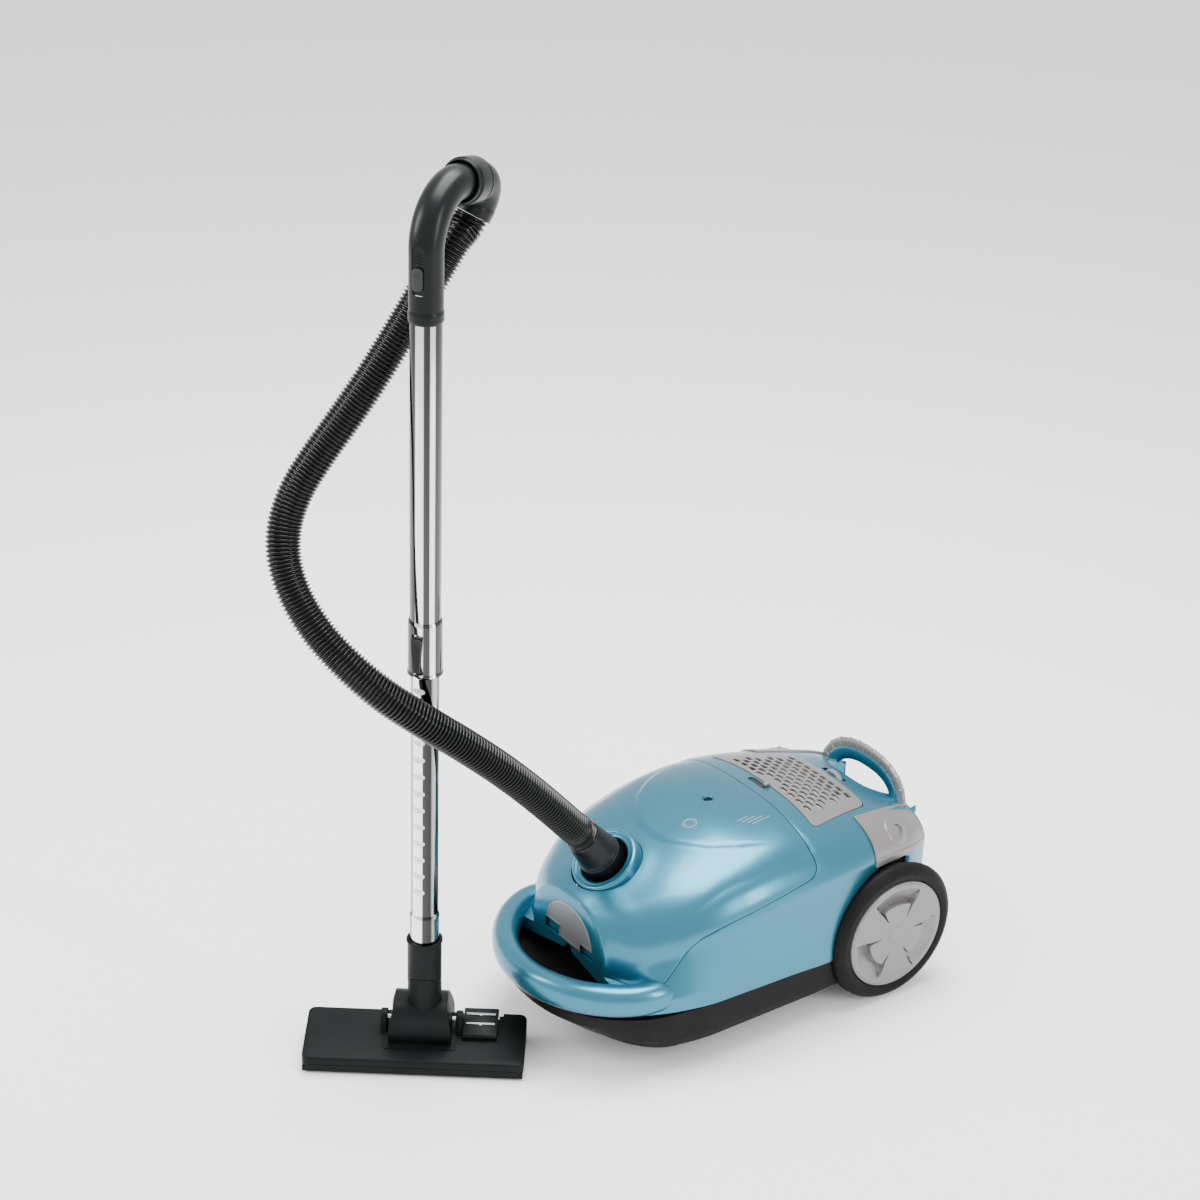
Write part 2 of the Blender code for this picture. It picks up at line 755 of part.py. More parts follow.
def pedal_solid(name, side, spread, depth, height=0.0030):
    """A corner pedal lying on the sloping rear shoulder of the casing."""
    top = (Vector((0.0985, 0.140, 0.2245)), Vector((0.0845, 0.226, 0.2120)))
    low = (Vector((0.1345, 0.144, 0.1850)), Vector((0.1165, 0.230, 0.1745)))
    out = (top[1] - top[0]).cross(low[0] - top[0]).normalized()
    if out.x < 0:
        out = -out
    along = (top[1] - top[0]).normalized()
    down = (low[0] - top[0]).normalized()
    corners = [
        top[0] - along * spread - down * spread,
        top[1] + along * spread - down * spread,
        low[1] + along * spread + down * spread,
        low[0] - along * spread + down * spread,
    ]
    outer = [p + out * height for p in corners]
    inner = [p - out * depth for p in corners]
    rings = [[(side * p.x, p.y, p.z) for p in ring] for ring in (inner, outer)]
    return loft(name, rings)


def make_rear_controls():
    for side, name in ((1, "power_pedal"), (-1, "cord_rewind_pedal")):
        pedal = pedal_solid(name, side, 0.0, 0.0025)
        place(pedal, "silver")
        centre = Vector((side * PEDAL_MIDDLE[0], *PEDAL_MIDDLE[1:]))
        axis = Vector((side * 0.74, 0.10, 0.66)).normalized()
        start, end = centre - axis * 0.0150, centre - axis * 0.0080
        place(rod(name + "_spring", start, end, 0.0060, 12), "steel")
    dial = turned(
        "suction_dial",
        [
            (0.0, 0.0035),
            (0.0175, 0.0035),
            (0.0190, 0.0020),
            (0.0190, -0.0020),
            (0.0175, -0.0035),
            (0.0, -0.0035),
        ],
        (0, 0.181, 0.2190),
        (0, 1, 0),
        28,
    )
    place(dial, "silver")


def handle_arch(half, foot_z, top_z, steps=14):
    """Centre line of a band from one rear corner of the casing to the other."""
    path = []
    for i in range(steps + 1):
        t = pi * i / steps
        rise = sin(t) ** 0.75
        x = half * (abs(cos(t)) ** 0.85) * (1 if cos(t) > 0 else -1)
        path.append((x, 0.2290 + 0.0080 * rise, foot_z + (top_z - foot_z) * rise))
    return path


def make_rear_handle():
    """The rear carry handle: a silver band over a blue liner."""
    casing = cutter(hull_solid("casing_clearance", -GAP))
    outer, inner = handle_arch(0.0700, 0.195, 0.2440), handle_arch(0.0625, 0.195, 0.2365)
    band = sweep("carry_handle", outer, oval(0.0070, 0.0220, 8), (0, 1, 0))
    liner = sweep("carry_handle_liner", inner, oval(0.0060, 0.0200, 8), (0, 1, 0))
    cut(band, casing, solver="MANIFOLD")
    cut(liner, casing, solver="MANIFOLD")
    place(band, "silver")
    place(liner, "blue")


# =============================================================================
# Inside the canister
# =============================================================================
def make_inner_parts():
    place(box("bulkhead", (-0.118, 0.022, 0.0345), (0.118, 0.025, 0.150), 0.0), "black")
    place(box("motor_inlet_filter", (-0.090, 0.0150, 0.060), (-0.010, 0.0210, 0.140)), "white")
    motor = turned(
        "motor",
        [
            (0.0, 0.052),
            (0.026, 0.052),
            (0.030, 0.048),
            (0.030, 0.000),
            (0.047, -0.002),
            (0.047, -0.018),
            (0.0, -0.018),
        ],
        (-0.052, 0.070, 0.098),
        (0, 1, 0),
        24,
    )
    place(motor, "steel")
    ring = [(0.053, 0.006), (0.053, -0.006), (0.0478, -0.006), (0.0478, 0.006)]
    place(turned("motor_mount", ring, (-0.052, 0.060, 0.098), (0, 1, 0), 24), "rubber")
    fan = [(0.0, 0.009), (0.010, 0.009), (0.040, 0.003), (0.042, 0.0), (0.042, -0.004), (0.0, -0.004)]
    place(turned("fan_impeller", fan, (-0.052, 0.038, 0.098), (0, 1, 0), 24), "steel")
    reel = [
        (0.058, 0.034),
        (0.058, 0.031),
        (0.030, 0.031),
        (0.030, -0.031),
        (0.058, -0.031),
        (0.058, -0.034),
        (0.010, -0.034),
        (0.010, 0.034),
    ]
    place(turned("cord_reel", reel, (0.058, 0.118, 0.104), (1, 0, 0), 28), "grey")
    place(rod("cord_reel_axle", (0.018, 0.118, 0.104), (0.098, 0.118, 0.104), 0.0090, 16), "black")
    place(box("circuit_board", (-0.095, 0.150, 0.150), (-0.015, 0.190, 0.1520)), "green")
    place(box("exhaust_filter", (-0.072, 0.070, 0.2140), (0.072, 0.158, 0.2240)), "white")
    frame = box("bag_holder", (-0.060, -0.030, 0.040), (0.060, -0.026, 0.175))
    window = cutter(rod("bag_mouth", (0, -0.05, 0.115), (0, 0.0, 0.115), 0.030, 24))
    place(cut(frame, window), "white")
    bag = []
    for y, share in ((-0.165, 0.62), (-0.150, 0.88), (-0.115, 1.0), (-0.065, 1.0), (-0.035, 0.80)):
        ring_ = oval(0.170 * share, 0.104 * share, 16)
        bag.append([(u, y, 0.1105 + v) for u, v in ring_])
    place(loft("dust_bag", bag), "paper")


def make_gland():
    profile = [
        (0.0050, 0.012),
        (0.0110, 0.010),
        (0.0125, 0.0008),
        (0.0080, 0.0004),
        (0.0080, -0.010),
        (0.0042, -0.010),
        (0.0042, 0.012),
    ]
    place(turned("cord_gland", profile, (-0.05, 0.2424, 0.115), (0, 1, 0), 20), "black")


def make_screws():
    for x, y, label in ((0.090, -0.130, "left"), (-0.090, -0.130, "right")):
        profile = [(0.0, 0.0305 + 0.012), (0.0016, 0.0420), (0.0016, 0.0372), (0.0, 0.0372)]
        place(turned("base_screw_" + label, profile, (x, y, 0.0), steps=10), "steel")


# =============================================================================
# Wheels
# =============================================================================
def make_wheels():
    middle = 0.5 * (WHEEL_INNER_X + WHEEL_OUTER_X)
    for side, label in ((1, "left"), (-1, "right")):
        pivot = empty("wheel_axis_" + label, (side * middle, WHEEL_Y, WHEEL_R))
        inner, outer = WHEEL_INNER_X - middle, WHEEL_OUTER_X - middle
        tyre = [
            (HUB_R + GAP, outer - 0.0045),
            (WHEEL_R - 0.0080, outer - 0.0030),
            (WHEEL_R - 0.0015, outer - 0.0080),
            (WHEEL_R, outer - 0.0130),
            (WHEEL_R, inner + 0.0040),
            (WHEEL_R - 0.0040, inner),
            (HUB_R + GAP, inner),
        ]
        obj = turned("wheel_tyre_" + label, tyre, steps=32)
        obj.rotation_quaternion = Vector((0, 0, 1)).rotation_difference(Vector((side, 0, 0)))
        place(obj, "rubber", pivot)
        hub = [
            (0.0180, outer),
            (0.0600, outer - 0.0020),
            (HUB_R, outer - 0.0060),
            (HUB_R, inner + 0.0010),
            (HUB_R - 0.0030, inner + 0.0010),
            (HUB_R - 0.0030, outer - 0.0090),
            (0.0120, outer - 0.0060),
            (0.0120, inner + 0.0010),
            (0.0054, inner + 0.0010),
            (0.0054, outer - 0.0030),
            (0.0, outer - 0.0030),
        ]
        top = [(0.0, outer)]
        obj = turned("wheel_hub_" + label, top + hub, steps=32)
        obj.rotation_quaternion = Vector((0, 0, 1)).rotation_difference(Vector((side, 0, 0)))
        place(obj, "silver", pivot)
        start = (side * 0.1000, WHEEL_Y, WHEEL_R)
        end = (side * (WHEEL_OUTER_X - 0.0045), WHEEL_Y, WHEEL_R)
        place(rod("wheel_axle_" + label, start, end, 0.0050, 16), "steel")


def make_caster():
    swivel = empty("caster_axis", (0, CASTER_Y, 0.03))
    disc = [(0.0, 0.0155), (0.020, 0.0155), (0.022, 0.0130), (0.022, 0.0020), (0.0, 0.0020)]
    fork = turned("caster_fork", disc, steps=24)
    fork.location = (0, 0, 0)
    slot_low, slot_high = (-0.0095, -0.030, -0.040), (0.0095, 0.030, 0.0115)
    slot = cutter(box("caster_slot", slot_low, slot_high), swivel)
    legs = []
    for side, label in ((1, "left"), (-1, "right")):
        x0, x1 = sorted((side * 0.0098, side * 0.0130))
        low, high = (x0, CASTER_TRAIL - 0.006, -0.0215), (x1, CASTER_TRAIL + 0.006, 0.0060)
        leg = box("caster_leg_" + label, low, high)
        legs.append(cutter(leg, swivel))
    cut(fork, slot)
    cut(fork, *legs, operation="UNION")
    axle_z = CASTER_R - 0.03
    bore_start, bore_end = (-0.02, CASTER_TRAIL, axle_z), (0.02, CASTER_TRAIL, axle_z)
    bore = cutter(rod("caster_bore", bore_start, bore_end, 0.0024, 12), swivel)
    cut(fork, bore)
    place(fork, "black", swivel)
    roller = [
        (CASTER_R - 0.002, 0.0085),
        (CASTER_R, 0.0060),
        (CASTER_R, -0.0060),
        (CASTER_R - 0.002, -0.0085),
        (0.0025, -0.0085),
        (0.0025, 0.0085),
    ]
    obj = turned("caster_roller", roller, (0, CASTER_TRAIL, axle_z), (1, 0, 0), 24)
    place(obj, "grey", swivel)
    pin_start, pin_end = (-0.0128, CASTER_TRAIL, axle_z), (0.0128, CASTER_TRAIL, axle_z)
    place(rod("caster_pin", pin_start, pin_end, 0.0020, 12), "steel", swivel)


# =============================================================================
# Wand and grip
# =============================================================================
def make_tubes():
    lower = [
        (LOWER_R, LOWER_TOP_Z),
        (LOWER_R, SWAGE_TOP_Z + 0.003),
        (SWAGE_R, SWAGE_TOP_Z - 0.003),
        (SWAGE_R, LOWER_BOTTOM_Z),
        (LOWER_BORE_R, LOWER_BOTTOM_Z),
        (LOWER_BORE_R, LOWER_TOP_Z),
    ]
    place(turned("lower_tube", lower, steps=28), "chrome", WAND)
    upper = [
        (UPPER_R, UPPER_TOP_Z),
        (UPPER_R, UPPER_BOTTOM_Z),
        (UPPER_BORE_R, UPPER_BOTTOM_Z),
        (UPPER_BORE_R, UPPER_TOP_Z),
    ]
    place(turned("upper_tube", upper, steps=28), "chrome", WAND)
    z0, z1 = SLEEVE_Z
    sleeve = [
        (SLEEVE_R, z1),
        (SLEEVE_R, z0 + 0.005),
        (SLEEVE_R + 0.0010, z0 + 0.0035),
        (SLEEVE_R + 0.0010, z0),
        (LOWER_R + GAP, z0),
        (LOWER_R + GAP, UPPER_BOTTOM_Z - GAP),
        (UPPER_R + GAP, UPPER_BOTTOM_Z - GAP),
        (UPPER_R + GAP, z1),
    ]
    obj = turned("lock_sleeve", sleeve, steps=28)
    low, high = (-0.0072, -0.030, z0 + 0.012), (0.0072, -0.0150, z1 - 0.010)
    pocket = cutter(box("lock_pocket", low, high), WAND)
    place(cut(obj, pocket), "chrome", WAND)
    button = box("lock_button", (-0.0066, -0.0229, z0 + 0.0126), (0.0066, -0.0202, z1 - 0.0106), 0.0008)
    place(button, "grey", WAND)


def grip_path(start_z):
    """The grip's centre line in the wand's frame: straight up, then over backwards."""
    heights = (start_z, 0.5 * (start_z + GRIP_BEND_Z), GRIP_BEND_Z - 0.004)
    points = [(0.0, 0.0, z) for z in heights]
    steps = 9
    for i in range(steps + 1):
        t = GRIP_TURN * i / steps
        points.append((0.0, GRIP_BEND_R * (1 - cos(t)), GRIP_BEND_Z + GRIP_BEND_R * sin(t)))
    return points


def grip_end():
    """Where the grip's bend ends, and the direction there, in the wand's frame."""
    point = Vector(grip_path(GRIP_BOTTOM_Z)[-1])
    return point, Vector((0.0, sin(GRIP_TURN), cos(GRIP_TURN)))


def make_grip():
    grip = hollow_bar("handle_grip", grip_path(GRIP_BOTTOM_Z), GRIP_R, 0.0030, 3)
    low, high = (0, 0, GRIP_BOTTOM_Z - 0.01), (0, 0, UPPER_TOP_Z + 0.001)
    socket_tool = rod("grip_socket", low, high, UPPER_R + GAP, 28)
    track = box("bleed_track", (-0.0085, -0.030, 0.958 + 0.022), (0.0085, -0.0160, 1.020))
    cut(grip, cutter(socket_tool, WAND), cutter(track, WAND))
    place(grip, "black_gloss", WAND)
    slider = box("bleed_slider", (-0.0078, -0.0215, 0.9815), (0.0078, -0.0164, 1.0040), 0.0015)
    place(slider, "grey", WAND)


def wand_matrix():
    return Matrix.Translation(WAND_FOOT) @ Matrix.Rotation(WAND_YAW, 4, "Z")


def collar_frame():
    """The swivel collar's start point and axis, in the canister's frame."""
    point, direction = grip_end()
    matrix = wand_matrix()
    return matrix @ point, (matrix.to_3x3() @ direction).normalized()


def make_swivel():
    start, axis = collar_frame()
    lip = 0.0016
    profile = [
        (COLLAR_R - 0.002, COLLAR_LENGTH),
        (COLLAR_R, COLLAR_LENGTH - 0.002),
        (COLLAR_R, 0.0020),
        (COLLAR_R - 0.002, 0.0),
        (GRIP_R + 0.0030, 0.0),
        (GRIP_R + 0.0030, 0.0080 + lip),
        (0.0140, 0.0080 + lip),
        (0.0140, COLLAR_LENGTH),
    ]
    place(turned("swivel_collar", profile, start + axis * 0.0006, axis, 24), "black_gloss")
    elbow = hollow_bar("hose_elbow", elbow_path(5), ELBOW_R, 0.0022, 3)
    place(elbow, "black_gloss")


def elbow_path(steps=8):
    """Round the corner from the collar's axis to the hose's own direction."""
    start, axis = collar_frame()
    mouth = start + axis * (COLLAR_LENGTH + 0.0012)
    begin = mouth + axis * 0.0040
    turn = axis.angle(HOSE_START_DIRECTION)
    normal = (HOSE_START_DIRECTION - axis * axis.dot(HOSE_START_DIRECTION)).normalized()
    points = [mouth]
    for i in range(steps + 1):
        t = turn * i / steps
        points.append(begin + axis * (ELBOW_BEND_R * sin(t)) + normal * (ELBOW_BEND_R * (1 - cos(t))))
    points.append(points[-1] + HOSE_START_DIRECTION * 0.010)
    return points


def make_hose():
    start = INLET_CENTRE + INLET_AXIS * 0.0606
    end = elbow_path()[-1] + HOSE_START_DIRECTION * 0.0005
    lead_in = INLET_CENTRE + INLET_AXIS * 0.072
    lead_out = end + HOSE_START_DIRECTION * 0.012
    route = smooth_path([lead_in, *HOSE_ROUTE, lead_out], 0.050)
    place(bar("hose", [start, *route, end], HOSE_R, 2), "black_gloss")


# =============================================================================
# Floor head
# =============================================================================
def neck_frame():
    """Centre and axis of the neck's swivel, in the head's frame."""
    offset = Matrix.Rotation(-HEAD_YAW, 4, "Z") @ (WAND_FOOT - HEAD_CENTRE)
    centre = Vector((offset.x, offset.y, NECK_JOINT_Z))
    return centre, Vector((0.0, sin(NECK_LEAN), cos(NECK_LEAN)))


def head_profile(inset=0.0):
    """(y, z) side profile of the head's cover."""
    return [
        (HEAD_FRONT_Y + inset, 0.0100),
        (HEAD_FRONT_Y + inset, HEAD_FRONT_Z - 0.003 - inset),
        (HEAD_FRONT_Y + 0.003 + inset, HEAD_FRONT_Z - inset),
        (-0.010, 0.0285 - inset),
        (HEAD_BACK_Y - 0.006 - inset, HEAD_BACK_Z - inset),
        (HEAD_BACK_Y - inset, HEAD_BACK_Z - 0.006 - inset),
        (HEAD_BACK_Y - inset, 0.0100),
    ]


def make_head():
    half = HEAD_W / 2
    cover = slab("head_cover", head_profile(), -half, half)
    soften(cover, 0.0015)
    inside = [(y, z - 0.002) for y, z in head_profile(0.003)]
    hollow = cutter(slab("head_hollow", inside, -half + 0.003, half - 0.003), HEAD)
    x0, x1 = BARREL_X
    start, end = (x0 - 0.0005, BARREL_Y, BARREL_Z), (x1 + 0.0005, BARREL_Y, BARREL_Z)
    cradle = rod("barrel_cradle", start, end, BARREL_R + 0.0007, 36)
    pedal_hole = cutter(box("mode_pedal_hole", (0.0555, -0.0065, 0.012), (0.0985, 0.060, 0.060)), HEAD)
    ears = []
    for x, label in ((x0 - 0.0065, "left"), (x1 + 0.0010, "right")):
        ear = rod("ear_" + label, (x, BARREL_Y, BARREL_Z), (x + 0.0055, BARREL_Y, BARREL_Z), 0.0095, 20)
        low, high = (x, BARREL_Y - 0.0095, 0.0275), (x + 0.0055, BARREL_Y + 0.0095, BARREL_Z)
        foot = box("ear_foot_" + label, low, high)
        ears += [cutter(ear, HEAD), cutter(foot, HEAD)]
    cut(cover, hollow, cutter(cradle, HEAD), pedal_hole)
    cut(cover, *ears, operation="UNION")
    start, end = (x0 - 0.02, BARREL_Y, BARREL_Z), (x1 + 0.02, BARREL_Y, BARREL_Z)
    pin_bore = rod("barrel_pin_bore", start, end, 0.0034, 16)
    cut(cover, cutter(pin_bore, HEAD))
    place(cover, "black", HEAD)

    low, high = (-half + 0.001, HEAD_FRONT_Y + 0.001, 0.0030), (half - 0.001, HEAD_BACK_Y - 0.001, 0.0096)
    sole = box("sole_plate", low, high)
    mouth = cutter(box("suction_mouth", (-0.100, -0.016, -0.01), (0.100, 0.000, 0.03)), HEAD)
    low, high = (x0 + 0.010, -0.016, 0.0062), (x1 - 0.010, BARREL_Y + 0.024, 0.03)
    throat = cutter(box("suction_throat", low, high), HEAD)
    grooves = []
    for y, label in ((-0.0355, "front"), (0.0305, "rear")):
        groove = box("brush_groove_" + label, (-0.122, y - 0.0042, -0.01), (0.122, y + 0.0042, 0.0078))
        grooves.append(cutter(groove, HEAD))
    place(cut(sole, mouth, throat, *grooves), "black", HEAD)
    for y, label in ((-0.0355, "front"), (0.0305, "rear")):
        carrier = box("brush_strip_" + label, (-0.1215, y - 0.0036, 0.0032), (0.1215, y + 0.0036, 0.0066))
        place(carrier, "grey", HEAD)
    for x, label in ((-0.112, "a"), (0.112, "b")):
        glide = box("head_glide_" + label, (x - 0.006, -0.0265, 0.0), (x + 0.006, 0.0215, 0.0026))
        place(glide, "steel", HEAD)


def make_mode_pedal():
    outline = [
        (-0.0055, 0.0300),
        (-0.0045, 0.0345),
        (0.0200, 0.0420),
        (0.0470, 0.0395),
        (0.0480, 0.0340),
        (0.0200, 0.0325),
    ]
    pedal = slab("mode_pedal", outline, 0.0563, 0.0977)
    place(pedal, "black", HEAD)


def make_neck():
    x0, x1 = BARREL_X
    centre, axis = neck_frame()
    barrel = rod("neck_barrel", (x0, BARREL_Y, BARREL_Z), (x1, BARREL_Y, BARREL_Z), BARREL_R, 36)
    foot = Vector((centre.x, BARREL_Y - 0.004, BARREL_Z + 0.010))
    stem = cutter(rod("neck_stem", foot, centre + Vector((0, 0, 0.010)), 0.0205, 28, 0.0200), HEAD)
    plane_turn = Vector((0, 0, 1)).rotation_difference(axis)
    trim = box("neck_trim", (-0.06, -0.06, 0.0), (0.06, 0.06, 0.10))
    trim.rotation_mode = "QUATERNION"
    trim.rotation_quaternion = plane_turn
    trim.location = centre
    way = rod("neck_way", (centre.x, BARREL_Y, BARREL_Z), centre + Vector((0, 0, 0.03)), 0.0155, 24)
    low, high = (x0 + 0.006, BARREL_Y - 0.020, 0.0), (x1 - 0.006, BARREL_Y + 0.020, BARREL_Z + 0.006)
    mouth = box("barrel_mouth", low, high)
    ends = []
    for x, label in ((x0 - 0.001, "left"), (x1 - 0.004, "right")):
        start, end = (x, BARREL_Y, BARREL_Z), (x + 0.005, BARREL_Y, BARREL_Z)
        hole = rod("pin_hole_" + label, start, end, 0.0034, 16)
        ends.append(cutter(hole, HEAD))
    cut(barrel, stem, operation="UNION")
    cut(barrel, cutter(trim, HEAD), cutter(way, HEAD), cutter(mouth, HEAD), *ends)
    place(barrel, "black", HEAD)
    for x, label in ((x0 - 0.0060, "left"), (x1 - 0.0035, "right")):
        start, end = (x, BARREL_Y, BARREL_Z), (x + 0.0095, BARREL_Y, BARREL_Z)
        pin = rod("barrel_pin_" + label, start, end, 0.0030, 16)
        place(pin, "steel", HEAD)


def make_socket():
    """The sleeve that the lower tube pushes into, cut square to the neck's swivel."""
    centre, axis = neck_frame()
    profile = [
        (0.0202, SOCKET_TOP_Z - 0.004),
        (0.0202, 0.080),
        (0.0155, 0.080),
        (0.0155, LOWER_BOTTOM_Z - 0.0010),
        (SWAGE_R + GAP, LOWER_BOTTOM_Z - 0.0010),
        (SWAGE_R + GAP, SOCKET_TOP_Z),
        (0.0214, SOCKET_TOP_Z),
        (0.0214, SOCKET_TOP_Z - 0.004),
    ]
    profile = profile[6:] + profile[:6]
    socket = turned("pipe_socket", profile, steps=28)
    under = box("socket_trim", (-0.06, -0.06, -0.10), (0.06, 0.06, GAP))
    under.rotation_mode = "QUATERNION"
    under.rotation_quaternion = Vector((0, 0, 1)).rotation_difference(axis)
    under.location = centre
    cut(socket, cutter(under, HEAD))
    place(socket, "black", WAND)


# =============================================================================
# The whole machine
# =============================================================================
MACHINE = empty("machine_footprint", (0.0, FOOTPRINT_SHIFT_Y, 0.0))
LID = empty("lid_hinge_axis", LID_HINGE)
WAND = empty("wand_axis", WAND_FOOT, Matrix.Rotation(WAND_YAW, 3, "Z").to_quaternion())
HEAD = empty("head_centre", HEAD_CENTRE, Matrix.Rotation(HEAD_YAW, 3, "Z").to_quaternion())


def build():
    hollow = cutter(hull_solid("casing_hollow", WALL))
    cut(hollow, cutter(rear_recess("hand_space_walls", WALL)), solver="MANIFOLD")
    arches = wheel_arches("wheel_arch", ARCH_R)
    make_base_pan(arches)
    make_body_shell(hollow, arches)
    make_top_cover(hollow)
    make_inlet()
    make_latch()
    make_front_handle()
    make_exhaust_grille()
    make_rear_controls()
    make_rear_handle()
    make_inner_parts()
    make_gland()
    make_screws()
    make_wheels()
    make_caster()
    make_tubes()
    make_grip()
    make_swivel()
    make_hose()
    make_head()
    make_mode_pedal()
    make_neck()
    make_socket()
    hang("lid_latch", "latch_axis", LATCH_HINGE)
    hang("exhaust_grille", "grille_hinge_axis", GRILLE_HINGE)
    hang("power_pedal", "power_pedal_axis", PEDAL_MIDDLE)
    hang("cord_rewind_pedal", "rewind_pedal_axis", (-PEDAL_MIDDLE[0], *PEDAL_MIDDLE[1:]))
    hang("handle_grip", "wand_swivel_axis", grip_end()[0])
    hang("neck_barrel", "neck_swivel_axis", neck_frame()[0])
    hang("head_cover", "head_tilt_axis", (0.0, BARREL_Y, BARREL_Z))
    hang("mode_pedal", "mode_pedal_axis", (0.0, MODE_AXIS_Y, MODE_AXIS_Z))
    for obj in list(PARTS.objects) + list(CUTTERS.objects):
        if obj.parent is None and obj is not MACHINE:
            obj.parent = MACHINE
    bpy.context.view_layer.update()


build()
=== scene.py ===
"""Looks of the canister vacuum cleaner: its detailed pieces, materials, light and camera.

Shapes are given in the canister's own frame, whose origin is on the floor under the
canister's middle, with its front towards -Y, and are moved by SHIFT into the machine's.
"""

import random
from math import atan2, cos, exp, pi, radians, sin, sqrt

import bmesh
import bpy
import numpy as np
from mathutils import Matrix, Vector


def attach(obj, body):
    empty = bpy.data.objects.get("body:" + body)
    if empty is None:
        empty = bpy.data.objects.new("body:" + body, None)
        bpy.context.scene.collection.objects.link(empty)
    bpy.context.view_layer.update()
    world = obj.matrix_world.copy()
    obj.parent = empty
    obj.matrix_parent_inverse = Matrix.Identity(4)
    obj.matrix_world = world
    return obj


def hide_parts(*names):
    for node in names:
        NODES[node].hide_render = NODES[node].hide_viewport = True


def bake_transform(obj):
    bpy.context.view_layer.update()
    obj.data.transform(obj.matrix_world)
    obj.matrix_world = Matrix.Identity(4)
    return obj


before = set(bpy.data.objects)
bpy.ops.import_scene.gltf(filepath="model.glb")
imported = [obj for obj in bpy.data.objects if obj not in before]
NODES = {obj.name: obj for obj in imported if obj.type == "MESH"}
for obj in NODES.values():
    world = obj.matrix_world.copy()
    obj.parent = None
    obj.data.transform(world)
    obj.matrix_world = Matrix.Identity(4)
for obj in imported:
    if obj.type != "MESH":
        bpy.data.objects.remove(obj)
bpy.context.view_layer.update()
SHIFT = Vector((0.0, 0.1436, 0.0))
random.seed(5)

# ---- sizes shared with the solids --------------------------------------------------------
STATIONS = np.array(
    (
        # y, half width at the waist, waist height, top height, half width of the skirt
        (-0.222, 0.072, 0.130, 0.190, 0.122),
        (-0.205, 0.096, 0.136, 0.201, 0.132),
        (-0.175, 0.120, 0.147, 0.214, 0.144),
        (-0.130, 0.141, 0.163, 0.233, 0.154),
        (-0.070, 0.151, 0.177, 0.250, 0.155),
        (0.000, 0.154, 0.185, 0.261, 0.154),
        (0.070, 0.152, 0.188, 0.255, 0.152),
        (0.130, 0.143, 0.186, 0.244, 0.143),
        (0.180, 0.131, 0.179, 0.233, 0.131),
        (0.215, 0.121, 0.174, 0.223, 0.121),
        (0.242, 0.108, 0.170, 0.211, 0.108),
    )
)
SHOULDER_POWER = 2.5
INLET_CENTRE = Vector((0.0, -0.170, 0.2205))
INLET_AXIS = Vector((0.0, -0.60, 0.80)).normalized()
WAND_FOOT = Vector((-0.048, -0.396, 0.0))
WAND_YAW = radians(28.2)
WAND = Matrix.Translation(WAND_FOOT) @ Matrix.Rotation(WAND_YAW, 4, "Z")
HEAD_PLACE = Vector((-0.0540, -0.4050, 0.0))
HEAD_YAW = radians(53.0)
HEAD = Matrix.Translation(HEAD_PLACE) @ Matrix.Rotation(HEAD_YAW, 4, "Z")
GRIP_BOTTOM_Z = 0.9405
GRIP_BEND_Z = 1.017
GRIP_BEND_R = 0.059
GRIP_TURN = radians(102.6)
COLLAR_LENGTH = 0.032
ELBOW_BEND_R = 0.0260
HOSE_START_DIRECTION = Vector((0.0, -0.550, -0.835)).normalized()
HOSE_ROUTE = (
    (0.004, -0.225, 0.290),
    (0.007, -0.252, 0.320),
    (0.008, -0.290, 0.361),
    (0.007, -0.331, 0.402),
    (0.002, -0.376, 0.443),
    (-0.009, -0.422, 0.482),
    (-0.029, -0.461, 0.516),
    (-0.055, -0.490, 0.549),
    (-0.085, -0.511, 0.583),
    (-0.112, -0.523, 0.619),
    (-0.132, -0.526, 0.657),
    (-0.142, -0.519, 0.695),
    (-0.143, -0.503, 0.732),
    (-0.138, -0.480, 0.768),
    (-0.131, -0.454, 0.804),
    (-0.124, -0.428, 0.841),
    (-0.119, -0.402, 0.879),
    (-0.116, -0.375, 0.918),
    (-0.114, -0.348, 0.957),
    (-0.113, -0.320, 0.995),
)


# =============================================================================
# Camera, light and floor
# =============================================================================
LENS_MM = 90.0
CAMERA_PLACE = Vector((2.46923, -1.99922, 2.09671))
CAMERA_RIGHT = Vector((0.57922, 0.81469, 0.02813))
CAMERA_UP = Vector((-0.37744, 0.23744, 0.89508))


def make_camera():
    """A long lens looking down at the machine from its front left corner."""
    data = bpy.data.cameras.new("camera")
    data.lens = LENS_MM
    data.sensor_width = 36.0
    data.clip_start = 0.1
    data.clip_end = 30.0
    camera = bpy.data.objects.new("camera", data)
    bpy.context.scene.collection.objects.link(camera)
    back = CAMERA_RIGHT.cross(CAMERA_UP)
    turn = Matrix((CAMERA_RIGHT, CAMERA_UP, back)).transposed().to_4x4()
    camera.matrix_world = Matrix.Translation(CAMERA_PLACE + SHIFT) @ turn
    bpy.context.scene.camera = camera


def area_light(name, place, target, size, power, size_y):
    """A rectangular soft box at place, turned towards target."""
    data = bpy.data.lights.new(name, "AREA")
    data.energy = power
    data.shape = "RECTANGLE"
    data.size = size
    data.size_y = size_y
    light = bpy.data.objects.new(name, data)
    bpy.context.scene.collection.objects.link(light)
    light.location = place
    light.rotation_euler = (Vector(target) - Vector(place)).to_track_quat("-Z", "Y").to_euler()
    return light


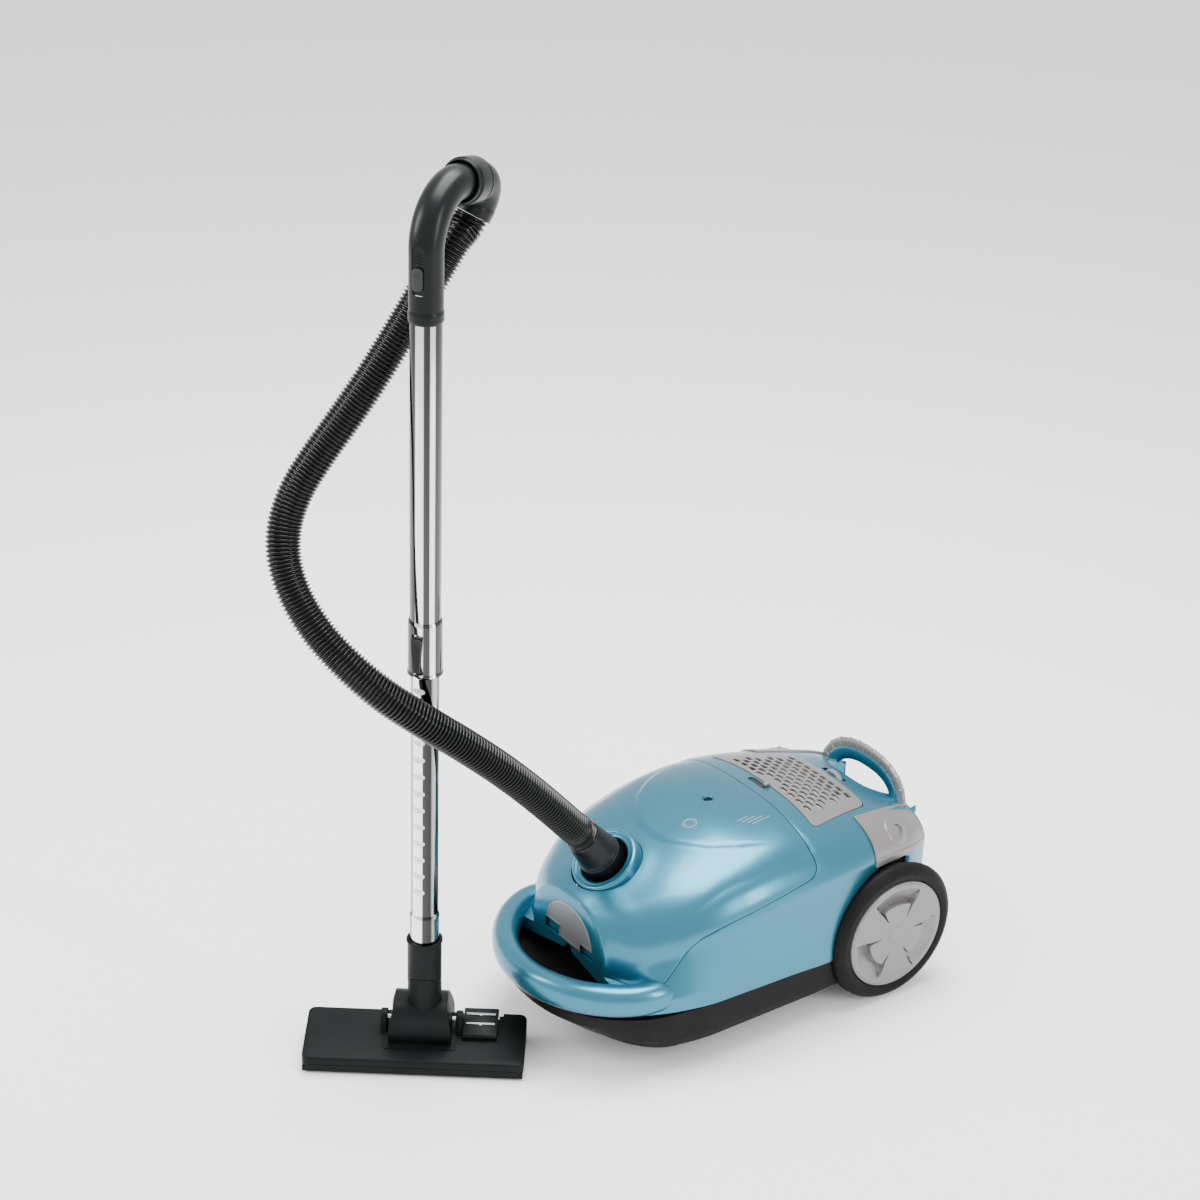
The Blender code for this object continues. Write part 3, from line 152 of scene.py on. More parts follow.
def make_stage():
    """A white studio: an even world, a pale floor and three soft boxes."""
    world = bpy.data.worlds.new("studio")
    world.use_nodes = True
    background = world.node_tree.nodes["Background"]
    background.inputs["Color"].default_value = (1.0, 1.0, 1.0, 1.0)
    background.inputs["Strength"].default_value = 1.35
    bpy.context.scene.world = world
    mesh = bpy.data.meshes.new("floor")
    bm = bmesh.new()
    bmesh.ops.create_grid(bm, x_segments=2, y_segments=2, size=9.0)
    bm.to_mesh(mesh)
    bm.free()
    floor = bpy.data.objects.new("floor", mesh)
    bpy.context.scene.collection.objects.link(floor)
    floor.location = (0, 0, -0.0002)
    material = bpy.data.materials.new("pale_floor")
    material.use_nodes = True
    shader = material.node_tree.nodes["Principled BSDF"]
    shader.inputs["Base Color"].default_value = (0.98, 0.98, 0.98, 1.0)
    shader.inputs["Roughness"].default_value = 0.9
    mesh.materials.append(material)
    area_light("top_softbox", (-0.2, 0.3, 2.6), (0, 0, 0.2), 1.4, 120, size_y=1.8)
    area_light("left_softbox", (-1.2, -2.3, 1.9), (0, -0.2, 0.3), 0.9, 60, size_y=1.4)
    area_light("right_strip", (2.6, 0.9, 1.5), (0, 0, 0.3), 0.4, 45, size_y=1.7)


make_camera()
make_stage()


# =============================================================================
# Materials
# =============================================================================
class Nodes:
    """A short way to write a material's node tree."""

    def __init__(self, name):
        self.material = bpy.data.materials.new(name)
        self.material.use_nodes = True
        self.tree = self.material.node_tree
        self.shader = self.tree.nodes["Principled BSDF"]

    def add(self, kind, **values):
        node = self.tree.nodes.new(kind)
        for key, value in values.items():
            if hasattr(node, key):
                setattr(node, key, value)
            else:
                node.inputs[key.replace("_", " ")].default_value = value
        return node

    def link(self, source, target):
        self.tree.links.new(source, target)

    def coords(self):
        return self.add("ShaderNodeTexCoord").outputs["Object"]

    def noise(self, scale, detail=3.0, coords=None):
        node = self.add("ShaderNodeTexNoise")
        node.inputs["Scale"].default_value = scale
        node.inputs["Detail"].default_value = detail
        self.link(coords or self.coords(), node.inputs["Vector"])
        return node.outputs["Fac"]

    def ramp(self, source, *stops):
        node = self.add("ShaderNodeValToRGB")
        elements = node.color_ramp.elements
        while len(elements) < len(stops):
            elements.new(0.5)
        for element, (place, colour) in zip(elements, stops):
            element.position = place
            element.color = (*colour, 1.0)
        self.link(source, node.inputs["Fac"])
        return node.outputs["Color"]

    def spread(self, source, low, high):
        node = self.add("ShaderNodeMapRange")
        node.inputs["To Min"].default_value = low
        node.inputs["To Max"].default_value = high
        self.link(source, node.inputs["Value"])
        return node.outputs["Result"]

    def bump(self, height, strength, distance):
        node = self.add("ShaderNodeBump")
        node.inputs["Strength"].default_value = strength
        node.inputs["Distance"].default_value = distance
        self.link(height, node.inputs["Height"])
        self.link(node.outputs["Normal"], self.shader.inputs["Normal"])

    def set(self, **values):
        for key, value in values.items():
            self.shader.inputs[key.replace("_", " ")].default_value = value


def painted(name, dark, light, metallic, roughness, coat, flake=2400.0):
    """Metallic paint: flakes as a fine colour grain under a clear coat."""
    n = Nodes(name)
    co = n.coords()
    grain = n.noise(flake, 2.0, co)
    n.link(n.ramp(grain, (0.30, dark), (0.72, light)), n.shader.inputs["Base Color"])
    wear = n.noise(14.0, 4.0, co)
    n.link(n.spread(wear, roughness - 0.03, roughness + 0.04), n.shader.inputs["Roughness"])
    n.set(Metallic=metallic, Coat_Weight=coat, Coat_Roughness=0.08, Specular_IOR_Level=0.3)
    n.bump(n.noise(1400.0, 2.0, co), 0.03, 0.0002)
    return n.material


def moulded(name, colour, roughness, grain=700.0, depth=0.15, spec=0.5):
    """Moulded plastic with a fine texture and slightly uneven gloss."""
    n = Nodes(name)
    co = n.coords()
    shade = n.noise(30.0, 5.0, co)
    dark = tuple(c * 0.86 for c in colour)
    light = tuple(min(1.0, c * 1.16) for c in colour)
    n.link(n.ramp(shade, (0.32, dark), (0.70, light)), n.shader.inputs["Base Color"])
    n.link(
        n.spread(n.noise(55.0, 4.0, co), roughness - 0.05, roughness + 0.06), n.shader.inputs["Roughness"]
    )
    n.set(Specular_IOR_Level=spec)
    n.bump(n.noise(grain, 2.0, co), depth, 0.0003)
    return n.material


def metal(name, colour, roughness, streak=0.03, scale=(40.0, 40.0, 2.0)):
    """Bare metal with fine brushed streaks."""
    n = Nodes(name)
    mapping = n.add("ShaderNodeMapping")
    mapping.inputs["Scale"].default_value = scale
    n.link(n.coords(), mapping.inputs["Vector"])
    fine = n.noise(6.0, 4.0, mapping.outputs["Vector"])
    n.link(n.spread(fine, roughness, roughness + streak), n.shader.inputs["Roughness"])
    dark = tuple(c * 0.93 for c in colour)
    n.link(n.ramp(fine, (0.3, dark), (0.7, colour)), n.shader.inputs["Base Color"])
    n.set(Metallic=1.0)
    return n.material


BLUE = painted("blue_paint", (0.026, 0.148, 0.222), (0.036, 0.180, 0.262), 0.74, 0.29, 0.20)
SILVER = painted("silver_paint", (0.185, 0.178, 0.174), (0.215, 0.207, 0.203), 0.50, 0.34, 0.10)
HUB_SILVER = painted("hub_silver", (0.180, 0.175, 0.172), (0.208, 0.202, 0.199), 0.50, 0.36, 0.05)
BLACK = moulded("black_textured", (0.0030, 0.0046, 0.0047), 0.46, 900.0, 0.22, spec=0.12)
BLACK_BASE = moulded("black_base", (0.0045, 0.0036, 0.0042), 0.50, 800.0, 0.30, spec=0.09)
BLACK_SMOOTH = moulded("black_smooth", (0.0030, 0.0044, 0.0046), 0.30, 500.0, 0.08, spec=0.19)
HOSE_BLACK = moulded("hose_black", (0.0018, 0.0026, 0.0028), 0.20, 500.0, 0.05, spec=0.30)
RUBBER = moulded("tyre_rubber", (0.0040, 0.0037, 0.0041), 0.55, 900.0, 0.20, spec=0.11)
GREY = moulded("grey_plastic", (0.024, 0.027, 0.028), 0.42, 700.0, 0.15, spec=0.2)
# Painted shade: a dark fill for pockets, wells and slots, where there is only shade.
SHADE_FILL = moulded("painted_shade_fill", (0.010, 0.009, 0.010), 0.7)
WHITE_MARK = moulded("white_print", (0.72, 0.74, 0.76), 0.5)
PALE_PRINT = moulded("pale_print", (0.34, 0.36, 0.36), 0.45)
# Painted shade: a darker metal for the faces inside the tube's notches.
NOTCH_SHADE_METAL = metal("notch_painted_shade", (0.30, 0.295, 0.285), 0.16, 0.08)
STEEL = metal("steel", (0.50, 0.50, 0.51), 0.28, 0.12)
LENS = moulded("lens_dark", (0.030, 0.012, 0.010), 0.12)
PAPER = moulded("filter_paper", (0.62, 0.54, 0.42), 0.9, 1200.0, 0.4)
WHITE = moulded("white_plastic", (0.70, 0.69, 0.66), 0.5)
BOARD = moulded("board", (0.03, 0.16, 0.06), 0.5)
BRISTLE = moulded("bristle", (0.03, 0.03, 0.03), 0.7)
SLOTS = {
    "casing_blue": (BLUE,),
    "silver_trim": (SILVER, HUB_SILVER, PALE_PRINT),
    "black_plastic": (BLACK, BLACK_BASE, SHADE_FILL),
    "black_gloss": (BLACK_SMOOTH, HOSE_BLACK),
    "rubber": (RUBBER,),
    "grey_plastic": (GREY,),
    "white_plastic": (WHITE_MARK,),
    "lens_clear": (LENS,),
}
SLOT_OF = {material.name: slot for slot, materials in SLOTS.items() for material in materials}


# =============================================================================
# Small tools
# =============================================================================
def piece(name, bm, body, material, replaces=(), smooth=38.0, matrix=None):
    """Makes a piece of the machine from a bmesh given in the canister's frame."""
    if matrix is not None:
        bm.transform(matrix)
    bm.transform(Matrix.Translation(SHIFT))
    mesh = bpy.data.meshes.new(name)
    bm.to_mesh(mesh)
    bm.free()
    mesh.materials.append(material)
    mesh.shade_smooth()
    mesh.set_sharp_from_angle(angle=radians(smooth))
    obj = bpy.data.objects.new(name, mesh)
    bpy.context.scene.collection.objects.link(obj)
    if body:
        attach(obj, body)
    if replaces:
        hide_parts(*replaces)
    return obj


def grid_faces(bm, rows, wrap=False, flip=False):
    """Faces between neighbouring rows of vertices. wrap closes each row into a ring."""
    count = len(rows[0])
    for a, b in zip(rows, rows[1:]):
        for i in range(count if wrap else count - 1):
            j = (i + 1) % count
            face = (a[i], a[j], b[j], b[i])
            if len(set(face)) < 4:
                face = tuple(dict.fromkeys(face))
            bm.faces.new(tuple(reversed(face)) if flip else face)


def lathe(profile, steps=64, radius_at=None):
    """A turned solid about Z from a (radius, height) profile, listed up its outside.

    radius_at(r, z, angle) may change the shape round the turn.
    """
    bm = bmesh.new()
    rows = []
    for k in range(steps):
        angle = 2 * pi * k / steps
        row = []
        for r, z in profile:
            if radius_at:
                r, z = radius_at(r, z, angle)
            row.append(bm.verts.new((r * cos(angle), r * sin(angle), z)))
        rows.append(row)
    count = len(profile)
    for k in range(steps):
        a, b = rows[k], rows[(k + 1) % steps]
        for i in range(count):
            j = (i + 1) % count
            bm.faces.new((a[i], b[i], b[j], a[j]))
    bmesh.ops.remove_doubles(bm, verts=bm.verts, dist=1e-6)
    bmesh.ops.recalc_face_normals(bm, faces=bm.faces)
    return bm


def rounded(profile, radius=0.0008, steps=3):
    """The same closed (r, z) profile with its corners rounded off."""
    result = []
    count = len(profile)
    for i, point in enumerate(profile):
        p = Vector(point)
        a, b = Vector(profile[i - 1]), Vector(profile[(i + 1) % count])
        if p.x < 1e-6:
            result.append(tuple(p))
            continue
        da, db = (a - p), (b - p)
        reach = min(radius, da.length * 0.45, db.length * 0.45)
        if reach < 1e-6:
            result.append(tuple(p))
            continue
        start, end = p + da.normalized() * reach, p + db.normalized() * reach
        for k in range(steps + 1):
            t = k / steps
            q = start.lerp(p, t).lerp(p.lerp(end, t), t)
            result.append((max(q.x, 0.0), q.y))
    return result


def aimed(centre, axis):
    """A frame at centre whose Z axis points along axis."""
    turn = Vector((0, 0, 1)).rotation_difference(Vector(axis)).to_matrix().to_4x4()
    return Matrix.Translation(centre) @ turn


def tube_along(path, sections, up=(0, 0, 1)):
    """A solid through closed (side, up) sections, one at each point of a path."""
    bm = bmesh.new()
    rows = []
    for i, point in enumerate(path):
        ahead = Vector(path[min(i + 1, len(path) - 1)]) - Vector(path[max(i - 1, 0)])
        ahead.normalize()
        side = ahead.cross(Vector(up)).normalized()
        top = side.cross(ahead).normalized()
        section = sections(i) if callable(sections) else sections
        rows.append([bm.verts.new(Vector(point) + side * u + top * v) for u, v in section])
    grid_faces(bm, rows, wrap=True)
    bm.faces.new(list(reversed(rows[0])))
    bm.faces.new(rows[-1])
    bmesh.ops.recalc_face_normals(bm, faces=bm.faces)
    return bm


def block(low, high, bevel=0.0, segments=2):
    """A box between two corners, with its edges rounded by bevel."""
    bm = bmesh.new()
    bmesh.ops.create_cube(bm, size=1.0)
    low, high = Vector(low), Vector(high)
    bmesh.ops.scale(bm, vec=high - low, verts=bm.verts)
    bmesh.ops.translate(bm, vec=(low + high) / 2, verts=bm.verts)
    if bevel:
        bmesh.ops.bevel(
            bm, geom=list(bm.edges), offset=bevel, segments=segments, affect="EDGES", profile=0.5
        )
    return bm


def joined(*parts):
    """One bmesh from several."""
    whole = bmesh.new()
    for part in parts:
        mesh = bpy.data.meshes.new("part")
        part.to_mesh(mesh)
        part.free()
        whole.from_mesh(mesh)
        bpy.data.meshes.remove(mesh)
    return whole


def prism(outline, low, high, bevel=0.0, segments=2):
    """An (x, y) outline given thickness along Z."""
    bm = bmesh.new()
    lower = [bm.verts.new((x, y, low)) for x, y in outline]
    upper = [bm.verts.new((x, y, high)) for x, y in outline]
    grid_faces(bm, [lower, upper], wrap=True)
    bm.faces.new(list(reversed(lower)))
    bm.faces.new(upper)
    bmesh.ops.recalc_face_normals(bm, faces=bm.faces)
    if bevel:
        edges = [e for e in bm.edges if abs(e.verts[0].co.z - e.verts[1].co.z) < 1e-7]
        bmesh.ops.bevel(bm, geom=edges, offset=bevel, segments=segments, affect="EDGES", profile=0.5)
    return bm


def modified(obj, *mods):
    """Adds modifiers to a piece and applies them to its mesh."""
    for kind, values in mods:
        mod = obj.modifiers.new(kind.lower(), kind)
        for key, value in values.items():
            setattr(mod, key, value)
    bpy.context.view_layer.update()
    graph = bpy.context.evaluated_depsgraph_get()
    mesh = bpy.data.meshes.new_from_object(obj.evaluated_get(graph))
    obj.modifiers.clear()
    old = obj.data
    obj.data = mesh
    bpy.data.meshes.remove(old)
    return obj


def eased(obj, width, angle, segments=2):
    """Rounds the edges that turn by more than angle degrees."""
    limit = {"limit_method": "ANGLE", "angle_limit": radians(angle)}
    return modified(obj, ("BEVEL", {"width": width, "segments": segments, **limit}))


def tool(bm, matrix=None):
    """A cutting solid, which is removed after its use."""
    if matrix is not None:
        bm.transform(matrix)
    bm.transform(Matrix.Translation(SHIFT))
    mesh = bpy.data.meshes.new("tool")
    bm.to_mesh(mesh)
    bm.free()
    obj = bpy.data.objects.new("tool", mesh)
    bpy.context.scene.collection.objects.link(obj)
    return obj


def carve(obj, *tools, operation="DIFFERENCE", smooth=38.0, solver="EXACT"):
    """Cuts a piece with solids, and shades it smooth again."""
    mods = []
    for item in tools:
        mods.append(("BOOLEAN", {"operation": operation, "object": item, "solver": solver}))
    modified(obj, *mods)
    for item in tools:
        bpy.data.objects.remove(item, do_unlink=True)
    obj.data.shade_smooth()
    obj.data.set_sharp_from_angle(angle=radians(smooth))
    return obj


def paint(material, *names):
    """Gives CAD nodes whose shape is right a detailed material."""
    for name in names:
        NODES[name].data.materials.clear()
        NODES[name].data.materials.append(material)


# =============================================================================
# The casing's skin: one grid of points, split into lid and body along the seam
# =============================================================================
FRONT_Y = -0.2200
REAR_Y = 0.242
WALL_ROWS = 26
LID_ROWS = 64
LID_COLUMNS = 96
REAR_COLUMNS = 78
SEAM_HALF_GAP = 0.00055
SEAM_LINE = np.array(
    (
        (-0.2220, 0.1165),
        (-0.1900, 0.1168),
        (-0.1800, 0.1205),
        (-0.1673, 0.1331),
        (-0.1547, 0.1484),
        (-0.1440, 0.1615),
        (-0.1320, 0.1722),
        (-0.1150, 0.1800),
        (-0.0700, 0.1910),
        (-0.0200, 0.2010),
        (0.0180, 0.2074),
        (0.1000, 0.2120),
        (0.2420, 0.1950),
    )
)
BASE_LINE = np.array(((-0.222, 0.088), (-0.150, 0.0875), (0.0, 0.083), (0.076, 0.0785), (0.242, 0.0785)))
UPPER_RIDGE = np.array(
    (
        (-0.180, 0.140), (-0.170, 0.160), (-0.136, 0.199), (-0.100, 0.2165), (-0.038, 0.2285),
        (0.0, 0.2320), (0.040, 0.2350),
    )
)
LOWER_RIDGE = np.array(
    (
        (-0.222, 0.120), (-0.169, 0.1290), (-0.132, 0.1650), (-0.080, 0.1800), (-0.053, 0.1855),
        (0.017, 0.1950), (0.087, 0.1970), (0.129, 0.1930), (0.242, 0.176),
    )
)
PANEL_EDGE = np.array(
    (
        (0.0, -0.1110), (0.012, -0.1105), (0.028, -0.1076), (0.044, -0.0992), (0.060, -0.0880),
        (0.077, -0.0736), (0.096, -0.0440), (0.1143, 0.0), (0.120, 0.036),
    )
)


def smooth_table(table, at):
    """Smooth values through a table's points, with no overshoot at its ends."""
    x, values = table[:, 0], table[:, 1]
    slopes = np.gradient(values, x)
    at = np.clip(at, x[0], x[-1])
    k = np.clip(np.searchsorted(x, at, side="right") - 1, 0, len(x) - 2)
    span = x[k + 1] - x[k]
    t = (at - x[k]) / span
    return (
        (1 + 2 * t) * (1 - t) ** 2 * values[k]
        + t * (1 - t) ** 2 * span * slopes[k]
        + t * t * (3 - 2 * t) * values[k + 1]
        + t * t * (t - 1) * span * slopes[k + 1]
    )


def station(y):
    """The casing's half width, waist height, top height and skirt at y."""
    return tuple(smooth_table(STATIONS[:, (0, k)], y) for k in (1, 2, 3, 4))


SKIRT_S, WAIST_S = 0.12, 0.30
SKIRT_TOP_Z = 0.106


def section(y, s):
    """Points of the right half of the section at y, with s from the lowest edge to the top."""
    half, waist, top, skirt = station(y)
    low = np.interp(y, BASE_LINE[:, 0], BASE_LINE[:, 1])
    a = np.clip(s / SKIRT_S, 0, 1)
    b = np.clip((s - SKIRT_S) / (WAIST_S - SKIRT_S), 0, 1)
    nose = step((-0.170 - y) / 0.035)
    ledge = b + (step(b / 0.44) - b) * nose
    t = np.clip((s - WAIST_S) / (1 - WAIST_S), 0, 1) * pi / 2
    power = 2 / SHOULDER_POWER
    x = np.where(s <= WAIST_S, skirt + (half - skirt) * ledge, half * np.abs(np.cos(t)) ** power)
    wall = SKIRT_TOP_Z + (waist - SKIRT_TOP_Z) * b
    crown = waist + (top - waist) * np.abs(np.sin(t)) ** power
    z = np.where(s <= SKIRT_S, low + (SKIRT_TOP_Z - low) * a, np.where(s <= WAIST_S, wall, crown))
    return x, z


def seam_s(y):
    """The section parameter of the seam at y."""
    _, waist, top, _ = station(y)
    z = smooth_table(SEAM_LINE, y)
    wall = SKIRT_S + (WAIST_S - SKIRT_S) * (z - SKIRT_TOP_Z) / (waist - SKIRT_TOP_Z)
    share = np.clip((z - waist) / (top - waist), 0, 0.98)
    arc = WAIST_S + (1 - WAIST_S) * np.arcsin(share ** (SHOULDER_POWER / 2)) / (pi / 2)
    return np.where(z < waist, wall, arc)


def rear_edge(row):
    """y of the lid's rear edge at a row share, with its corner rounded."""
    g = np.clip(row / 0.13, 0, 1)
    corner = 1 - np.sqrt(np.clip(1 - (1 - g) ** 2, 0, 1))
    return 0.0365 - 0.0185 * corner + 0.004 * np.sin(pi * np.clip(row, 0, 1) / 2)


def skin_grid():
    """Points [column, row] of the right half: rows up the section, columns front to rear."""
    rows = []
    for i in range(WALL_ROWS + 1):
        rows.append(("wall", i / WALL_ROWS))
    for i in range(LID_ROWS + 1):
        share = i / LID_ROWS
        rows.append(("lid", 1 - (1 - share) ** 1.15))
    grid = {}
    for r, (kind, share) in enumerate(rows):
        edge = float(rear_edge(share if kind == "lid" else 0.0))
        for c in range(LID_COLUMNS + 1):
            grid[c, r] = (FRONT_Y + (edge - SEAM_HALF_GAP - FRONT_Y) * (c / LID_COLUMNS), kind, share)
        for c in range(REAR_COLUMNS + 1):
            start = edge + SEAM_HALF_GAP if kind == "lid" else edge - SEAM_HALF_GAP
            key = LID_COLUMNS + 1 + c
            grid[key, r] = (start + (REAR_Y - start) * (c / REAR_COLUMNS), kind, share)
    columns = LID_COLUMNS + REAR_COLUMNS + 2
    y = np.zeros((columns, len(rows)))
    s = np.zeros((columns, len(rows)))
    for (c, r), (value, kind, share) in grid.items():
        y[c, r] = value
        seam = float(seam_s(np.array(value)))
        xs, zs = section(np.array((value, value)), np.array((seam - 0.004, seam + 0.004)))
        gap = SEAM_HALF_GAP * 0.008 / float(np.hypot(xs[1] - xs[0], zs[1] - zs[0]))
        if kind == "wall":
            s[c, r] = (seam - gap) * share
        else:
            behind = c > LID_COLUMNS
            start = seam - gap if behind else seam + gap
            s[c, r] = start + (1 - start) * share
    x, z = section(y, s)
    return np.stack((x, y, z), axis=-1), rows


def polyline_distance(px, py, line):
    """Distance from points to a plan polyline, positive behind it."""
    best = np.full(px.shape, 9.0)
    for (ax, ay), (bx, by) in zip(line, line[1:]):
        dx, dy = bx - ax, by - ay
        t = np.clip(((px - ax) * dx + (py - ay) * dy) / (dx * dx + dy * dy), 0, 1)
        best = np.minimum(best, np.hypot(px - (ax + t * dx), py - (ay + t * dy)))
    return best * np.where(py > np.interp(px, line[:, 0], line[:, 1], right=9.0), 1.0, -1.0)


def step(t):
    t = np.clip(t, 0, 1)
    return t * t * (3 - 2 * t)


def crease(distance, width, edge=0.0007):
    return np.exp(-(np.sqrt(distance**2 + edge**2) - edge) / width)


def skin_relief(points):
    """How far the styling lines lift the skin, in metres along its normal."""
    x, y, z = points[..., 0], points[..., 1], points[..., 2]
    lift = np.zeros(x.shape)
    d = z - smooth_table(UPPER_RIDGE, y)
    fade = step((y + 0.185) / 0.07) * step((0.045 - y) / 0.004) * step((x - 0.05) / 0.03)
    lift -= 0.0017 * crease(d, 0.0085) * fade
    d = z - smooth_table(LOWER_RIDGE, y)
    fade = step((y + 0.150) / 0.06) * step((x - 0.08) / 0.03)
    lift += 0.0014 * crease(d, 0.0060) * fade
    edge = polyline_distance(np.abs(x), y, PANEL_EDGE)
    fade = step((0.005 - y) / 0.060) * step((0.119 - np.abs(x)) / 0.02)
    lift += 0.0030 * step(edge / 0.0085 + 0.0) * fade * (z > 0.2)
    ring = np.sqrt(
        (x - INLET_CENTRE.x) ** 2 + ((y - INLET_CENTRE.y) * 0.8 + (z - INLET_CENTRE.z) * 0.6) ** 2
    )
    lift += 0.0022 * np.exp(-(((ring - 0.040) / 0.016) ** 2)) * (z > 0.15)
    lift -= 0.0006 * np.exp(-((np.hypot(x, y + 0.019) / 0.006) ** 2))
    return lift


def skin_normals(points):
    along = np.gradient(points, axis=0)
    across = np.gradient(points, axis=1)
    normal = np.cross(along, across)
    length = np.linalg.norm(normal, axis=-1, keepdims=True)
    normal = normal / np.maximum(length, 1e-12)
    flip = np.where(
        normal[..., 0] * points[..., 0] + normal[..., 2] * (points[..., 2] - 0.12) < 0, -1.0, 1.0
    )
    return normal * flip[..., None]


def relieved(points, split):
    """The grid with its styling lines, worked out apart on each side of the lid's rear edge."""
    result = points.copy()
    for part in (slice(0, split), slice(split, None)):
        block_ = points[part]
        normal = skin_normals(block_)
        normal[:, -1, 0] = 0.0
        result[part] = block_ + normal * skin_relief(block_)[..., None]
    result[:, -1, 0] = 0.0
    return result


def front_cap(ring):
    """Rings that close the nose, from the first ring of the skin inwards."""
    centre = np.array((0.0, 0.0, 0.1165))
    caps = []
    for y, scale in (
        (-0.2216, 0.990), (-0.2222, 0.972), (-0.2222, 0.80), (-0.2222, 0.55), (-0.2222, 0.30),
        (-0.2222, 0.08),
    ):
        scaled = centre + (ring - centre) * scale
        scaled[:, 1] = y
        caps.append(scaled)
    return caps


def rear_cap(ring):
    centre = np.array((0.0, 0.0, 0.13))
    caps = []
    for y, scale in ((0.2450, 0.985), (0.2458, 0.965), (0.2458, 0.6), (0.2458, 0.25)):
        scaled = centre + (ring - centre) * scale
        scaled[:, 1] = y
        scaled[:, 2] = np.maximum(scaled[:, 2], 0.0)
        caps.append(scaled)
    return caps


def sheet_mesh(rows_of_points):
    """A sheet from columns of points on the right half, mirrored to both sides."""
    bm = bmesh.new()
    columns = []
    for column in rows_of_points:
        right = [bm.verts.new(p) for p in column]
        on_axis = abs(column[-1][0]) < 1e-7
        left = [bm.verts.new((-p[0], p[1], p[2])) for p in (column[:-1] if on_axis else column)]
        columns.append(right + list(reversed(left)))
    grid_faces(bm, columns)
    bmesh.ops.remove_doubles(bm, verts=bm.verts, dist=2e-6)
    bmesh.ops.recalc_face_normals(bm, faces=bm.faces)
    highest = max(bm.faces, key=lambda f: f.calc_center_median().z)
    if highest.normal.z < 0:
        bmesh.ops.reverse_faces(bm, faces=bm.faces)
    return bm


def skin_sheets():
    """The skin's columns of points for the lid, the side walls and the rear."""
    points, _ = skin_grid()
    points = relieved(points, LID_COLUMNS + 1)
    lid_row = WALL_ROWS + 1
    caps = front_cap(points[0])
    lid = [cap[lid_row:] for cap in reversed(caps)] + [points[c][lid_row:] for c in range(LID_COLUMNS + 1)]
    lower = [cap[:lid_row] for cap in reversed(caps)] + [
        points[c][:lid_row] for c in range(LID_COLUMNS + 1)
    ]
    rear_first = LID_COLUMNS + 1
    tail = [points[c] for c in range(rear_first, points.shape[0])]
    tail += rear_cap(points[-1])
    return lid, lower, tail


def body_mesh(lower, tail):
    """The body's sheet: side walls in front, the whole section behind the lid."""
    bm = bmesh.new()
    for sign in (1, -1):
        front = [[bm.verts.new((sign * p[0], p[1], p[2])) for p in column] for column in lower]
        grid_faces(bm, front)
    columns = []
    for column in tail:
        right = [bm.verts.new(p) for p in column]
        left = [bm.verts.new((-p[0], p[1], p[2])) for p in column[:-1]]
        columns.append(right + list(reversed(left)))
    grid_faces(bm, columns)
    bmesh.ops.remove_doubles(bm, verts=bm.verts, dist=0.0004)
    bmesh.ops.recalc_face_normals(bm, faces=bm.faces)
    highest = max(bm.faces, key=lambda f: f.calc_center_median().z)
    if highest.normal.z < 0:
        bmesh.ops.reverse_faces(bm, faces=bm.faces)
    return bm


def make_casing():
    lid, lower, tail = skin_sheets()
    cover = piece("casing_lid", sheet_mesh(lid), "lid", BLUE, ["top_cover"], 30)
    shell = piece("casing_body", body_mesh(lower, tail), "canister", BLUE, ["body_shell"], 30)
    for obj in (cover, shell):
        modified(
            obj,
            ("SOLIDIFY", {"thickness": 0.0022, "offset": -1.0}),
            (
                "BEVEL",
                {"width": 0.0006, "segments": 2, "limit_method": "ANGLE", "angle_limit": radians(60)},
            ),
        )
    return cover, shell


COVER, SHELL = make_casing()


# =============================================================================
# Lid details: inlet, latch, indicator, print
# =============================================================================
RING_R = 0.0437
HOLE_R = 0.0310
CUFF_R = 0.0262
LATCH_Z = 0.1245
LATCH_H = 0.053
LATCH_HALF = 0.048
LATCH_STEP_LEFT = (-0.0190, 0.0140)  # where the plate's lower edge rises, and how far
LATCH_STEP_RIGHT = (0.0240, 0.0110)


def skin_height(x, y):
    """Height of the plain skin above a point of the plan."""
    half, waist, top, _ = (float(v) for v in station(np.array(float(y))))
    share = min(abs(x) / half, 0.999)
    return waist + (top - waist) * (1 - share**SHOULDER_POWER) ** (1 / SHOULDER_POWER)


def skin_normal(x, y):
    e = 0.002
    dx = (skin_height(x + e, y) - skin_height(x - e, y)) / (2 * e)
    dy = (skin_height(x, y + e) - skin_height(x, y - e)) / (2 * e)
    return Vector((-dx, -dy, 1.0)).normalized()


